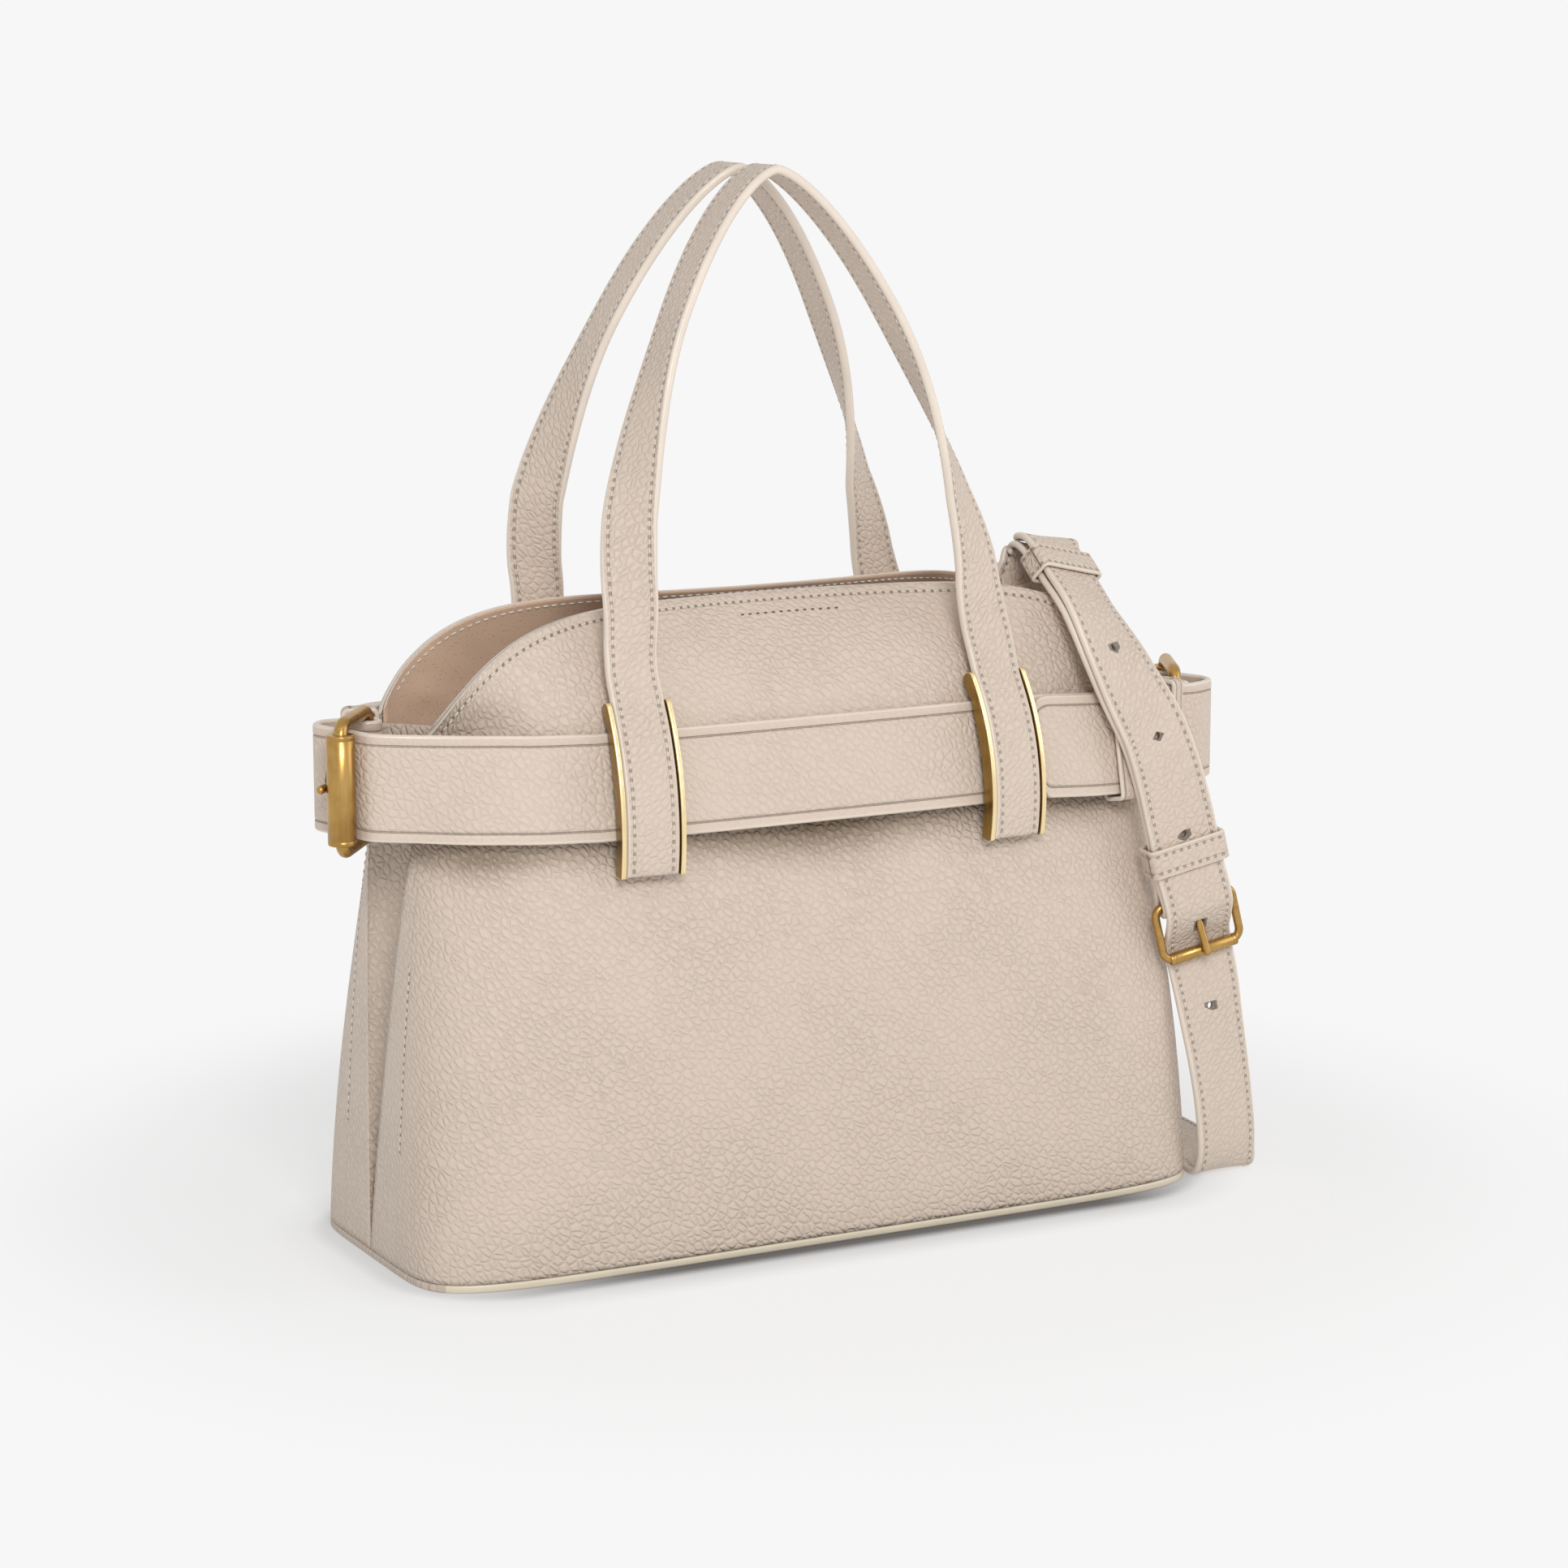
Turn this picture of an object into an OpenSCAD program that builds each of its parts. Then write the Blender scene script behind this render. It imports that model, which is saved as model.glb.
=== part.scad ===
// Top handle bag: a soft trapezoid body with an arched rim, a buckled belt threaded
// behind four curved metal brackets, two strap handles and a draped shoulder strap.
// Millimetres, +Z up, front of the bag towards -Y, origin at the centre of the base.

/* [Bag body] */
// Width of the base
base_w = 320; // [290:1:350]
// Depth of the base
base_d = 124; // [110:1:140]
// Width of the body at the belt
waist_w = 298; // [290:1:306]
// Depth of the body at the belt
waist_d = 92.8; // [86:0.2:100]
// Height of the middle of the belt
belt_z = 174; // [165:1:182]
// Height of the rim in the middle of the bag
rim_z = 232; // [224:1:240]
// Height of the rim where it meets the side gussets
mouth_z = 192; // [188:1:196]
// Half width of the arch of the rim
arch_half = 144; // [136:1:146]
// Thickness of the outer leather
leather_t = 2; // [1.6:0.1:2.4]
// Thickness of the lining
lining_t = 0.8; // [0.6:0.1:1.2]
// Half width of a side gusset at its top
gusset_half = 25; // [18:1:30]
// How far a side gusset folds in at its top
gusset_fold = 18; // [12:1:22]
// Thickness of the base panel
base_t = 3; // [2:0.5:4]
// Thickness of the stiffener inside the base
board_t = 2; // [1:0.5:3]

/* [Belt] */
// Width of the belt
belt_w = 38; // [34:1:40]
// Thickness of the belt
belt_t = 2.6; // [2.2:0.1:3]
// Lean of the belt where it lies on the front and the back
belt_lean = 13; // [8:1:16]
// Distance from the middle of the bag to each belt tip
belt_tip_x = 88; // [87:1:92]
// Length of a buckle from its heel bar to its roller
buckle_l = 34; // [32:1:36]
// Diameter of the buckle rod
buckle_rod = 5; // [4.4:0.2:5.4]
// Diameter of the belt rollers
roller_d = 10; // [9:0.5:11]

/* [Handles] */
// Distance from the middle of the bag to the middle of a handle leg
leg_x = 73; // [70:1:74]
// Width of the handle straps
handle_w = 20; // [18:0.5:21]
// Thickness of the handle straps
handle_t = 3.2; // [3:0.1:3.4]
// Height of the top of the handles
handle_z = 386; // [360:1:410]
// Opening angle of a handle
handle_swing = 120; // [90:5:125]

/* [Brackets] */
// Outer radius of a bracket's arc
bracket_r = 79.9; // [79.5:0.1:80.3]
// Depth of a bracket's rails
rail_h = 6.2; // [5.8:0.1:6.4]
// Thickness of a bracket's rails
rail_t = 1.8; // [1.4:0.1:2]
// Thickness of the web between the rails
web_t = 1.1; // [1:0.1:1.2]

/* [Shoulder strap] */
// Width of the shoulder strap
strap_w = 27.5; // [26:0.5:28]
// Thickness of the shoulder strap
strap_t = 2.6; // [2.2:0.1:2.8]

/* [Hidden] */
$fn = 48;

// Small running and seating gaps
seat = 0.3;
run = 0.06;

waist_n = 3.4;
base_n = 7;
base_curve_w = 1.2;
base_curve_d = 2;
rim_pinch = 0.8;
rim_power = 6;
flank_z = mouth_z - 2;
lower_rows = 8;
upper_rows = 5;
panel_cols = 24;

leather = [0.83, 0.77, 0.70];
leather_shade = [0.78, 0.72, 0.65];
edge_cream = [0.86, 0.81, 0.74];
tan_lining = [0.66, 0.53, 0.42];
brass = [0.72, 0.55, 0.26];

function mix(a, b, t) = a + (b - a) * t;
function clamp(v, lo, hi) = max(lo, min(hi, v));
function smooth(t) = t * t * (3 - 2 * t);
function unit(v) = v / norm(v);
function hermite(s, p0, p1, m0, m1) =
    (2 * s * s * s - 3 * s * s + 1) * p0 + (s * s * s - 2 * s * s + s) * m0
    + (3 * s * s - 2 * s * s * s) * p1 + (s * s * s - s * s) * m1;

// Half width, half depth and squareness of the body's plan at height z
function body_a(z) = base_w / 2 - (base_w - waist_w) / 2 * pow(min(z, belt_z) / belt_z, base_curve_w);
function body_b(z) = base_d / 2 - (base_d - waist_d) / 2 * pow(min(z, belt_z) / belt_z, base_curve_d);
function body_n(z) = mix(base_n, waist_n, smooth(min(z, belt_z) / belt_z));
// Depth coordinate of the body's side ridge, where a panel meets its gusset
function ridge_y(z) = seat / 2 + (gusset_half - seat / 2) * pow(clamp(z / mouth_z, 0, 1), 1.2);

// Front surface of the body at the belt, as a positive distance from the middle
function waist_y(x) = waist_d / 2 * pow(1 - pow(min(abs(x), waist_w / 2 - 1) / (waist_w / 2), waist_n), 1 / waist_n);
function rim_height(x) =
    rim_z - (rim_z - mouth_z) * pow(min(abs(x), arch_half) / arch_half, rim_power);
function rim_pull(x) = rim_pinch * max(0, 1 - pow(abs(x) / arch_half, 2));

// Point of the front panel's plan at height z; t runs from -1 to 1 round the panel
function plan(t, z, inset) =
    let (
        a = body_a(z) - inset,
        b = body_b(z) - inset,
        n = body_n(z),
        top = acos(pow(ridge_y(z) / b, n / 2)),
        phi = abs(t) * top
    )
    [sign(t) * a * pow(sin(phi), 2 / n), -b * pow(cos(phi), 2 / n)];

// Point of the front panel; v is 0 at the base, 1 at the belt and 2 at the rim
function panel_point(t, v, inset, z0) =
    v <= 1 ?
        let (z = mix(z0, belt_z, v), p = plan(t, z, inset)) [p[0], p[1], z]
    :
        let (
            p = plan(t, belt_z, inset),
            s = v - 1,
            top = max(flank_z, rim_height(p[0])),
            rise = top - belt_z,
            y0 = -p[1],
            y1 = y0 * (1 - rim_pull(p[0])) - inset * rim_pull(p[0]),
            y = hermite(s, y0, y1, -0.18 * rise * (y1 < y0 ? 1 : 0), -1.7 * (y0 - y1))
        )
        [p[0], -y, mix(belt_z, top, s)];

// Closed shell between two grids of points; the first grid is the outside
module slab(outer, inner) {
    rows = len(outer);
    cols = len(outer[0]);
    count = rows * cols;
    points = concat([for (r = outer) each r], [for (r = inner) each r]);
    function at(i, j) = i * cols + j;
    skin = [for (i = [0:rows - 2], j = [0:cols - 2]) each [
        [at(i, j), at(i + 1, j), at(i + 1, j + 1)],
        [at(i, j), at(i + 1, j + 1), at(i, j + 1)]
    ]];
    back = [for (f = skin) [count + f[2], count + f[1], count + f[0]]];
    side_i = [for (j = [0:cols - 2]) each [
        [at(0, j), at(0, j + 1), count + at(0, j + 1)],
        [at(0, j), count + at(0, j + 1), count + at(0, j)],
        [at(rows - 1, j + 1), at(rows - 1, j), count + at(rows - 1, j)],
        [at(rows - 1, j + 1), count + at(rows - 1, j), count + at(rows - 1, j + 1)]
    ]];
    side_j = [for (i = [0:rows - 2]) each [
        [at(i + 1, 0), at(i, 0), count + at(i, 0)],
        [at(i + 1, 0), count + at(i, 0), count + at(i + 1, 0)],
        [at(i, cols - 1), at(i + 1, cols - 1), count + at(i + 1, cols - 1)],
        [at(i, cols - 1), count + at(i + 1, cols - 1), count + at(i, cols - 1)]
    ]];
    polyhedron(points = points, faces = concat(skin, back, side_i, side_j), convexity = 6);
}

// Section of a strap: a rectangle with small bevels, as [across, through] pairs
function strap_ring(w, t) =
    let (a = w / 2, b = t / 2, c = min(t, w) * 0.28)
    [[-a + c, -b], [a - c, -b], [a, -b + c], [a, b - c], [a - c, b], [-a + c, b], [-a, b - c], [-a, -b + c]];

// Strap along centre points; across is the width direction and out the face direction
module ribbon(centre, across, out, widths, t) {
    n = len(centre);
    m = 8;
    points = [for (i = [0:n - 1]) each
        [for (q = strap_ring(widths[i], t)) centre[i] + across[i] * q[0] + out[i] * q[1]]];
    walls = [for (i = [0:n - 2], k = [0:m - 1]) each [
        [i * m + k, (i + 1) * m + k, (i + 1) * m + (k + 1) % m],
        [i * m + k, (i + 1) * m + (k + 1) % m, i * m + (k + 1) % m]
    ]];
    caps = [[for (k = [0:m - 1]) k], [for (k = [m - 1:-1:0]) (n - 1) * m + k]];
    polyhedron(points = points, faces = concat(walls, caps), convexity = 8);
}

// Catmull-Rom curve through key points, with a given number of steps in each span
function spline(p, steps) = concat(
    [for (i = [0:len(p) - 2], k = [0:steps - 1])
        let (
            a = p[max(i - 1, 0)],
            b = p[i],
            c = p[i + 1],
            d = p[min(i + 2, len(p) - 1)],
            s = k / steps
        )
        0.5 * (2 * b + (c - a) * s + (2 * a - 5 * b + 4 * c - d) * s * s
            + (3 * b - a - 3 * c + d) * s * s * s)],
    [p[len(p) - 1]]
);
function heading(c, i) = unit(c[min(i + 1, len(c) - 1)] - c[max(i - 1, 0)]);
function run_length(c, i) = i == 0 ? 0 : norm(c[i] - c[i - 1]) + run_length(c, i - 1);

// Rounded end of a strap: its width at a distance from the end
function end_width(w, s, r) = s >= r ? w : w - 2 * (r - sqrt(max(0, r * r - (r - s) * (r - s))));

// Body panels

module panel_sheet(depth_in, t, z0, cols) {
    vs = concat([for (i = [0:lower_rows]) i / lower_rows], [for (i = [1:upper_rows]) 1 + i / upper_rows]);
    ts = [for (j = [0:cols]) -1 + 2 * j / cols];
    slab(
        [for (v = vs) [for (s = ts) panel_point(s, v, depth_in, z0)]],
        [for (v = vs) [for (s = ts) panel_point(s, v, depth_in + t, z0)]]
    );
}

module front_panel() {
    color(leather) panel_sheet(0, leather_t, base_t + seat, panel_cols);
}

module back_panel() {
    color(leather) rotate([0, 0, 180]) panel_sheet(0, leather_t, base_t + seat, panel_cols);
}

// Side gusset: a triangle that folds inwards between the two side ridges
gusset_z0 = 24;
gusset_rows = 8;
gusset_cols = 8;
function gusset_point(u, z, inset) =
    let (
        low = min(z, belt_z),
        half = ridge_y(low) - seat,
        share = pow(clamp(z / mouth_z, 0, 1), 1.5),
        b = body_b(z),
        n = body_n(z),
        edge = body_a(z) * pow(1 - pow(ridge_y(low) / b, n), 1 / n) - leather_t,
        fold = gusset_fold * share * pow(1 - u * u, 0.8)
    )
    [-(edge - fold - inset), -u * half * (1 - inset * 0.02), z];

module gusset_sheet(inset, t, z0, z1, rows, cols) {
    slab(
        [for (i = [0:rows]) [for (j = [0:cols]) gusset_point(-1 + 2 * j / cols, mix(z0, z1, i / rows), inset)]],
        [for (i = [0:rows]) [for (j = [0:cols]) gusset_point(-1 + 2 * j / cols, mix(z0, z1, i / rows), inset + t)]]
    );
}

module left_gusset() {
    color(leather_shade) gusset_sheet(0, leather_t, gusset_z0, flank_z, gusset_rows, gusset_cols);
}

module right_gusset() {
    color(leather_shade) rotate([0, 0, 180])
        gusset_sheet(0, leather_t, gusset_z0, flank_z, gusset_rows, gusset_cols);
}

// Outline of the base inside the panels' outer face
function base_outline(inset, count) = [for (i = [0:count - 1])
    let (
        a = base_w / 2 - inset,
        b = base_d / 2 - inset,
        s = 360 * (i + 0.5) / count
    )
    [a * sign(cos(s)) * pow(abs(cos(s)), 2 / base_n), b * sign(sin(s)) * pow(abs(sin(s)), 2 / base_n)]];

module base_panel() {
    color(edge_cream) linear_extrude(base_t) polygon(base_outline(0, 64));
}

module base_board() {
    color("dimgray") translate([0, 0, base_t + seat])
        linear_extrude(board_t) polygon(base_outline(leather_t + 2 * seat, 48));
}

lining_gap = 0.3;
module lining() {
    z0 = base_t + board_t + 2 * seat;
    color(tan_lining) {
        for (side = [0, 180]) rotate([0, 0, side])
            panel_sheet(leather_t + lining_gap, lining_t, z0, panel_cols);
        for (side = [0, 180]) rotate([0, 0, side])
            gusset_sheet(leather_t + lining_gap, lining_t, gusset_z0, flank_z, gusset_rows, gusset_cols);
        translate([0, 0, z0]) linear_extrude(lining_t)
            polygon(base_outline(leather_t + lining_gap + lining_t + seat, 48));
    }
}

// Magnetic snap: two round halves on the lining behind the rim, facing each other
snap_r = 8;
snap_t = 2.4;
snap_v = 1.8;
module snap_half(stud) {
    z0 = base_t + seat;
    depth = leather_t + lining_gap + lining_t + 0.9;
    p = panel_point(0, snap_v, depth, z0);
    q = panel_point(0, snap_v + 0.04, depth, z0);
    translate(p) rotate([atan2(p[1] - q[1], q[2] - p[2]), 0, 0]) rotate([-90, 0, 0]) {
        cylinder(r = snap_r, h = snap_t);
        if (stud) cylinder(r = 3, h = snap_t + 1.2);
    }
}

module magnet_front() {
    color(brass) snap_half(true);
}

module magnet_back() {
    color(brass) rotate([0, 0, 180]) snap_half(false);
}

// Belt path. Both belts are laid in plan; the second layer is the belt end that the
// other side's buckle holds.

belt_off = seat + 0.1 + belt_t / 2;
layer = belt_t + seat;
heel_left = [-(waist_w / 2 + 6.5), 4];
heel_right = [waist_w / 2 + 18, -18.3];
// Direction from each heel bar to its roller, and the outward face of each buckle
frame_left = unit([-20.8, -26.9]);
frame_right = unit([0.44, 0.898]);
function turn_out(v) = [v[1], -v[0]];
out_left = turn_out(frame_left);
out_right = turn_out(frame_right);
// Direction in which each belt arrives at its heel bar, and its outward face
arrive_left = unit([-0.318, -0.948]);
arrive_right = unit([0.883, 0.47]);
face_left = turn_out(arrive_left);
face_right = turn_out(arrive_right);

// Height of the middle of the belt: it rises to the left buckle and drops to the right
function belt_mid(x) = belt_z - 1 + (x < -90 ? (-90 - x) * 0.05 : 0) - (x > 90 ? (x - 90) * 0.06 : 0);
buckle_z_left = belt_mid(heel_left[0]);
buckle_z_right = belt_mid(heel_right[0]);

// Where the belts leave the body, and the places along each flank that shape them
body_end = waist_w / 2 - 27;
ease_from = leg_x + 13;
flank_shares = [0, 0.43, 0.7, 0.87];
flank_xs = [for (k = flank_shares) mix(leg_x + 2, body_end, k)];
tip_xs = [for (k = [0:4]) mix(belt_tip_x, body_end - 2, k / 4)];

// Middle of the belt on the front (side = -1) or the back (side = 1), in layer 0 or 1
function belt_on_body(x, side, level) =
    let (
        slope = waist_y(abs(x) + 0.5) - waist_y(abs(x) - 0.5),
        ease = 3.05 * smooth(clamp((abs(x) - ease_from) / (body_end - 3 - ease_from), 0, 1)),
        off = (belt_off + ease + level * layer) * sqrt(1 + slope * slope)
    )
    [x, side * (waist_y(x) + off)];

// Belt end on its way to a heel bar, its turn round the bar and its sewn inner end
fold_r = buckle_rod / 2 + seat + belt_t / 2;
half_gap = belt_t / 2 + 0.2;
function chape(heel, along, face, mid) = [
    mid,
    heel - 24 * along + half_gap * face,
    heel - 14 * along + half_gap * face,
    heel - 9 * along + (half_gap + 0.1) * face,
    heel - 4.5 * along + 2.9 * face,
    heel + fold_r * face
];
function turn_round(heel, along, face) = concat(
    [for (s = [60:-30:-90]) heel + fold_r * (cos(s) * along + sin(s) * face)],
    [
        heel - 4.5 * along - 2.9 * face,
        heel - 9 * along - (half_gap + 0.1) * face,
        heel - 17 * along - half_gap * face
    ]
);
// First points of a path moved outwards to lie over it
function lift(start, p, count, amount) =
    let (q = concat([start], p))
    [for (i = [1:count]) q[i] + amount * turn_out(unit(q[i + 1] - q[i - 1]))];
// Stretch that threads a buckle, as distances along the frame and out of it
function thread_points(heel, frame, out, pts) = [for (p = pts) heel + p[0] * frame + p[1] * out];
thread_in = [
    [buckle_l - 24.7, 13.8], [buckle_l - 16.4, 13.2], [buckle_l - 11.8, 7.1],
    [buckle_l - 9, -0.4], [buckle_l - 4.2, -7]
];
thread_left = concat([[-5.1, 7.9], [2.4, 9.4]], thread_in, [[buckle_l - 3, -13]]);
thread_right = concat(thread_in, [[buckle_l + 2.5, -11]]);

end_a = waist_w / 2 - 13;
end_y = waist_y(end_a) + 8.4;
body_xs = concat(
    [-body_end],
    [for (i = [3:-1:0]) -flank_xs[i]],
    [-45, 0, 45],
    flank_xs,
    [body_end - 1]
);
chape_left = chape(heel_left, arrive_left, face_left, [-end_a, end_y]);
chape_right = chape(heel_right, arrive_right, face_right, [end_a + 3, -(end_y - 0.2)]);
front_belt_plan = concat(
    [for (x = tip_xs) belt_on_body(-x, 1, 1)],
    lift(belt_on_body(-(body_end - 2), 1, 0), chape_left, 3, layer + 0.1),
    thread_points(heel_left, frame_left, out_left, thread_left),
    [[-(waist_w / 2 + 1), -(end_y - 5.8)], [-end_a, -(end_y - 0.6)]],
    [for (x = body_xs) belt_on_body(x, -1, 0)],
    chape_right,
    turn_round(heel_right, arrive_right, face_right)
);
back_belt_plan = concat(
    [for (x = tip_xs) belt_on_body(x, -1, 1)],
    lift(belt_on_body(body_end - 2, -1, 0), chape_right, 4, layer + 0.1),
    [heel_right + (fold_r + layer + 0.4) * face_right + 1.5 * arrive_right],
    thread_points(heel_right, frame_right, out_right, thread_right),
    [[waist_w / 2 + 14, end_y - 11.3], [waist_w / 2 + 1, end_y - 5.4], [end_a, end_y - 0.6]],
    [for (x = body_xs) belt_on_body(-x, 1, 0)],
    chape_left,
    turn_round(heel_left, arrive_left, face_left)
);

tip_r = 5;
function lean_at(x) = belt_lean * (1 - 0.24 * smooth(clamp((abs(x) - 80) / 36, 0, 1)))
    * (1 - smooth(clamp((abs(x) - body_end) / 34, 0, 1)));
module belt(plan_points, sense) {
    c2 = spline(plan_points, 2);
    n = len(c2);
    centre = [for (p = c2) [p[0], p[1], belt_mid(p[0])]];
    along = [for (i = [0:n - 1]) heading(c2, i)];
    out = [for (d = along) sense * [d[1], -d[0]]];
    lean = [for (p = c2) lean_at(p[0])];
    up = [for (i = [0:n - 1]) [-sin(lean[i]) * out[i][0], -sin(lean[i]) * out[i][1], cos(lean[i])]];
    face = [for (i = [0:n - 1]) [cos(lean[i]) * out[i][0], cos(lean[i]) * out[i][1], sin(lean[i])]];
    widths = [for (i = [0:n - 1]) end_width(belt_w, run_length(c2, i) + 0.4, tip_r)];
    ribbon(centre, up, face, widths, belt_t);
}

// Slot in a belt where the prong passes, long enough for the prong to lift
prong_lift = 5;
module prong_hole() {
    for (lift = [0:prong_lift / 2:prong_lift + 0.2]) rotate([0, 0, prong_tilt + lift])
        translate([buckle_l - 20, 0, 0]) rotate([0, 90, 0]) cylinder(d = prong_d + 1, h = 16);
}

module front_belt() {
    color(leather) difference() {
        belt(front_belt_plan, 1);
        place_buckle(heel_left, frame_left, buckle_z_left) prong_hole();
        heel_slot(heel_right, frame_right, buckle_z_right);
    }
}

module back_belt() {
    color(leather) difference() {
        belt(back_belt_plan, 1);
        place_buckle(heel_right, frame_right, buckle_z_right) prong_hole();
        heel_slot(heel_left, frame_left, buckle_z_left);
    }
}

// Brackets and handles

arc_y = 20.5;
arc_z = belt_z - 18.2;
rail_low = 10.2;
rail_high = 36.5;
tab_high = 38.5;
bracket_yaw = 5;
bracket_w = handle_w + 2 * (rail_t + 0.25);
tab_outer_r = bracket_r - 0.6;
tab_mid_r = tab_outer_r - handle_t / 2;

module arc_profile(low, high, shape_r0, shape_r1, w0, w1) {
    translate([0, arc_y, arc_z]) rotate([0, -90, 0]) rotate([0, 0, 270 - low])
        rotate_extrude(angle = high + low, $fn = 180)
            polygon([[shape_r0, w0], [shape_r1, w0], [shape_r1, w1], [shape_r0, w1]]);
}

// Room that the belt needs under a bracket
module belt_room() {
    translate([0, -waist_y(leg_x) - belt_off - belt_t / 2 - 0.9, belt_z - 1]) rotate([-belt_lean, 0, 0])
        translate([-40, 0, -belt_w / 2 - 1]) cube([80, 30, belt_w + 2]);
}

post_r = 2.2;
post_low = -9;
post_high = 34.5;
// Surface of the front panel where a post meets it, as a radius from the arc's centre
reach_low = 72.3;
reach_high = 72.6;
module post(angle, reach) {
    translate([0, arc_y, arc_z]) rotate([-angle, 0, 0]) rotate([90, 0, 0])
        translate([0, 0, reach]) cylinder(r = post_r, h = tab_outer_r - handle_t - 0.8 - reach);
}

module bracket_shape() {
    half = bracket_w / 2;
    difference() {
        union() {
            for (s = [-1, 1]) arc_profile(rail_low, rail_high, bracket_r - rail_h, bracket_r,
                s < 0 ? -half : half - rail_t, s < 0 ? -half + rail_t : half);
            arc_profile(rail_low, rail_high, tab_outer_r - handle_t - web_t - 0.15,
                tab_outer_r - handle_t - 0.15, -half + rail_t - 0.1, half - rail_t + 0.1);
        }
        belt_room();
    }
    post(post_low, reach_low);
    post(post_high, reach_high);
}

module tab_shape() {
    arc_profile(rail_low - 0.2, tab_high, tab_outer_r - handle_t, tab_outer_r, -handle_w / 2, handle_w / 2);
}

// Places a leg's piece at one of the four corners: sx is the side, back turns it to the rear
module at_leg(sx, back) {
    rotate([0, 0, back ? 180 : 0]) translate([sx * leg_x, 0, 0])
        translate([0, -waist_d / 2, 0]) rotate([0, 0, sx * bracket_yaw]) translate([0, waist_d / 2, 0])
            children();
}

module front_left_bracket() {
    color(brass) at_leg(-1, false) bracket_shape();
}
module front_right_bracket() {
    color(brass) at_leg(1, false) bracket_shape();
}
module back_left_bracket() {
    color(brass) at_leg(1, true) bracket_shape();
}
module back_right_bracket() {
    color(brass) at_leg(-1, true) bracket_shape();
}
module front_left_tab() {
    color(leather) at_leg(-1, false) tab_shape();
}
module front_right_tab() {
    color(leather) at_leg(1, false) tab_shape();
}
module back_left_tab() {
    color(leather) at_leg(1, true) tab_shape();
}
module back_right_tab() {
    color(leather) at_leg(-1, true) tab_shape();
}

// Handle: two legs that rise straight from the brackets, turn edge-on and meet in an arch
pivot_y = arc_y - (tab_outer_r + 0.3) * cos(tab_high);
pivot_z = arc_z + (tab_outer_r + 0.3) * sin(tab_high);
leg_foot_y = pivot_y + handle_t / 2 + 0.3;
leg_z = pivot_z + 34;
arch_y = -(handle_w / 2 + 0.4);
// Both arches lean to the left of the bag
handle_lean = 5;
back_lean = 9;
arch_steps = 18;
leg_steps = 5;

function leg_point(k) =
    let (s = k / leg_steps)
    [leg_x - 3 * smooth(s), mix(leg_foot_y, leg_foot_y + 2, smooth(min(1, s * 2))), mix(pivot_z + 0.3, leg_z, s)];
function arch_point(th) =
    let (
        h = handle_z - handle_t / 2 - leg_z,
        x = (leg_x - 3) * pow(sin(th), 4 / 3),
        rise = h * pow(cos(th), 4 / 3),
        s = rise / h
    )
    [x, mix(leg_foot_y + 2, arch_y, pow(s, 1.3)), leg_z + rise];
half_arch = concat(
    [for (k = [0:leg_steps - 1]) leg_point(k)],
    [for (k = [0:arch_steps]) arch_point(90 * (1 - k / arch_steps))]
);
// How far a leg has turned from facing the front to facing outwards
twist_start = 2;
twist_share = 0.7;
function twist_at(p) =
    90 * smooth(clamp((p[2] - pivot_z - twist_start) / (twist_share * (handle_z - pivot_z)), 0, 1));

// turn is 1 where the outer face becomes the top of the arch, and -1 where the inner face does
module handle(lean, turn) {
    n = len(half_arch);
    right = half_arch;
    left = [for (i = [n - 2:-1:0]) [-right[i][0], right[i][1], right[i][2]]];
    path = concat(right, left);
    m = len(path);
    along = [for (i = [0:m - 1]) heading(path, i)];
    out = [for (i = [0:m - 1])
        let (
            d = along[i],
            front = unit([0, -1, 0] - d * (d * [0, -1, 0])),
            side = cross(d, front),
            tw = twist_at(path[i])
        )
        cos(tw) * front + turn * sin(tw) * side];
    across = [for (i = [0:m - 1]) cross(out[i], along[i])];
    widths = [for (i = [0:m - 1]) handle_w];
    ribbon([for (p = path) p + [lean * clamp((p[2] - pivot_z) / 60, 0, 1), 0, 0]],
        across, out, widths, handle_t);
}

module front_handle() {
    color(leather) handle(-handle_lean, 1);
}

module back_handle() {
    color(leather) rotate([0, 0, 180]) handle(back_lean, -1);
}

// Buckle of one side, in its own plane: heel bar on Z at the origin, roller along +X,
// outward face along +Y

frame_half = belt_w / 2 + 0.8 + buckle_rod / 2;
prong_d = 3;
prong_tilt = asin((roller_d / 2 + prong_d / 2 + 0.15) / buckle_l);
// Slot in a belt's fold that lets the prong's ring sit on the heel bar
module heel_slot(heel, frame, z) {
    translate([heel[0], heel[1], z]) rotate([0, 0, atan2(frame[1], frame[0])])
        translate([-5.6, -7, -2.8]) cube([15, 14, 5.6]);
}
module place_buckle(heel, frame, z) {
    translate([heel[0], heel[1], z]) rotate([0, 0, atan2(frame[1], frame[0])]) mirror([0, 1, 0]) children();
}

module buckle_frame() {
    axle_d = 4;
    r = buckle_rod / 2;
    for (s = [-1, 1]) translate([0, 0, s * frame_half]) {
        rotate([0, 90, 0]) cylinder(r = r, h = buckle_l);
        sphere(r = r);
        translate([buckle_l, 0, 0]) sphere(r = r);
    }
    translate([0, 0, -frame_half]) cylinder(r = r, h = 2 * frame_half);
    translate([buckle_l, 0, -frame_half]) cylinder(d = axle_d, h = 2 * frame_half);
}

module buckle_roller() {
    axle_d = 4;
    h = 2 * (frame_half - buckle_rod / 2 - 0.4);
    translate([buckle_l, 0, 0]) difference() {
        translate([0, 0, -h / 2]) cylinder(d = roller_d, h = h);
        translate([0, 0, -h]) cylinder(d = axle_d + 2 * run, h = 2 * h);
    }
}

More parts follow.
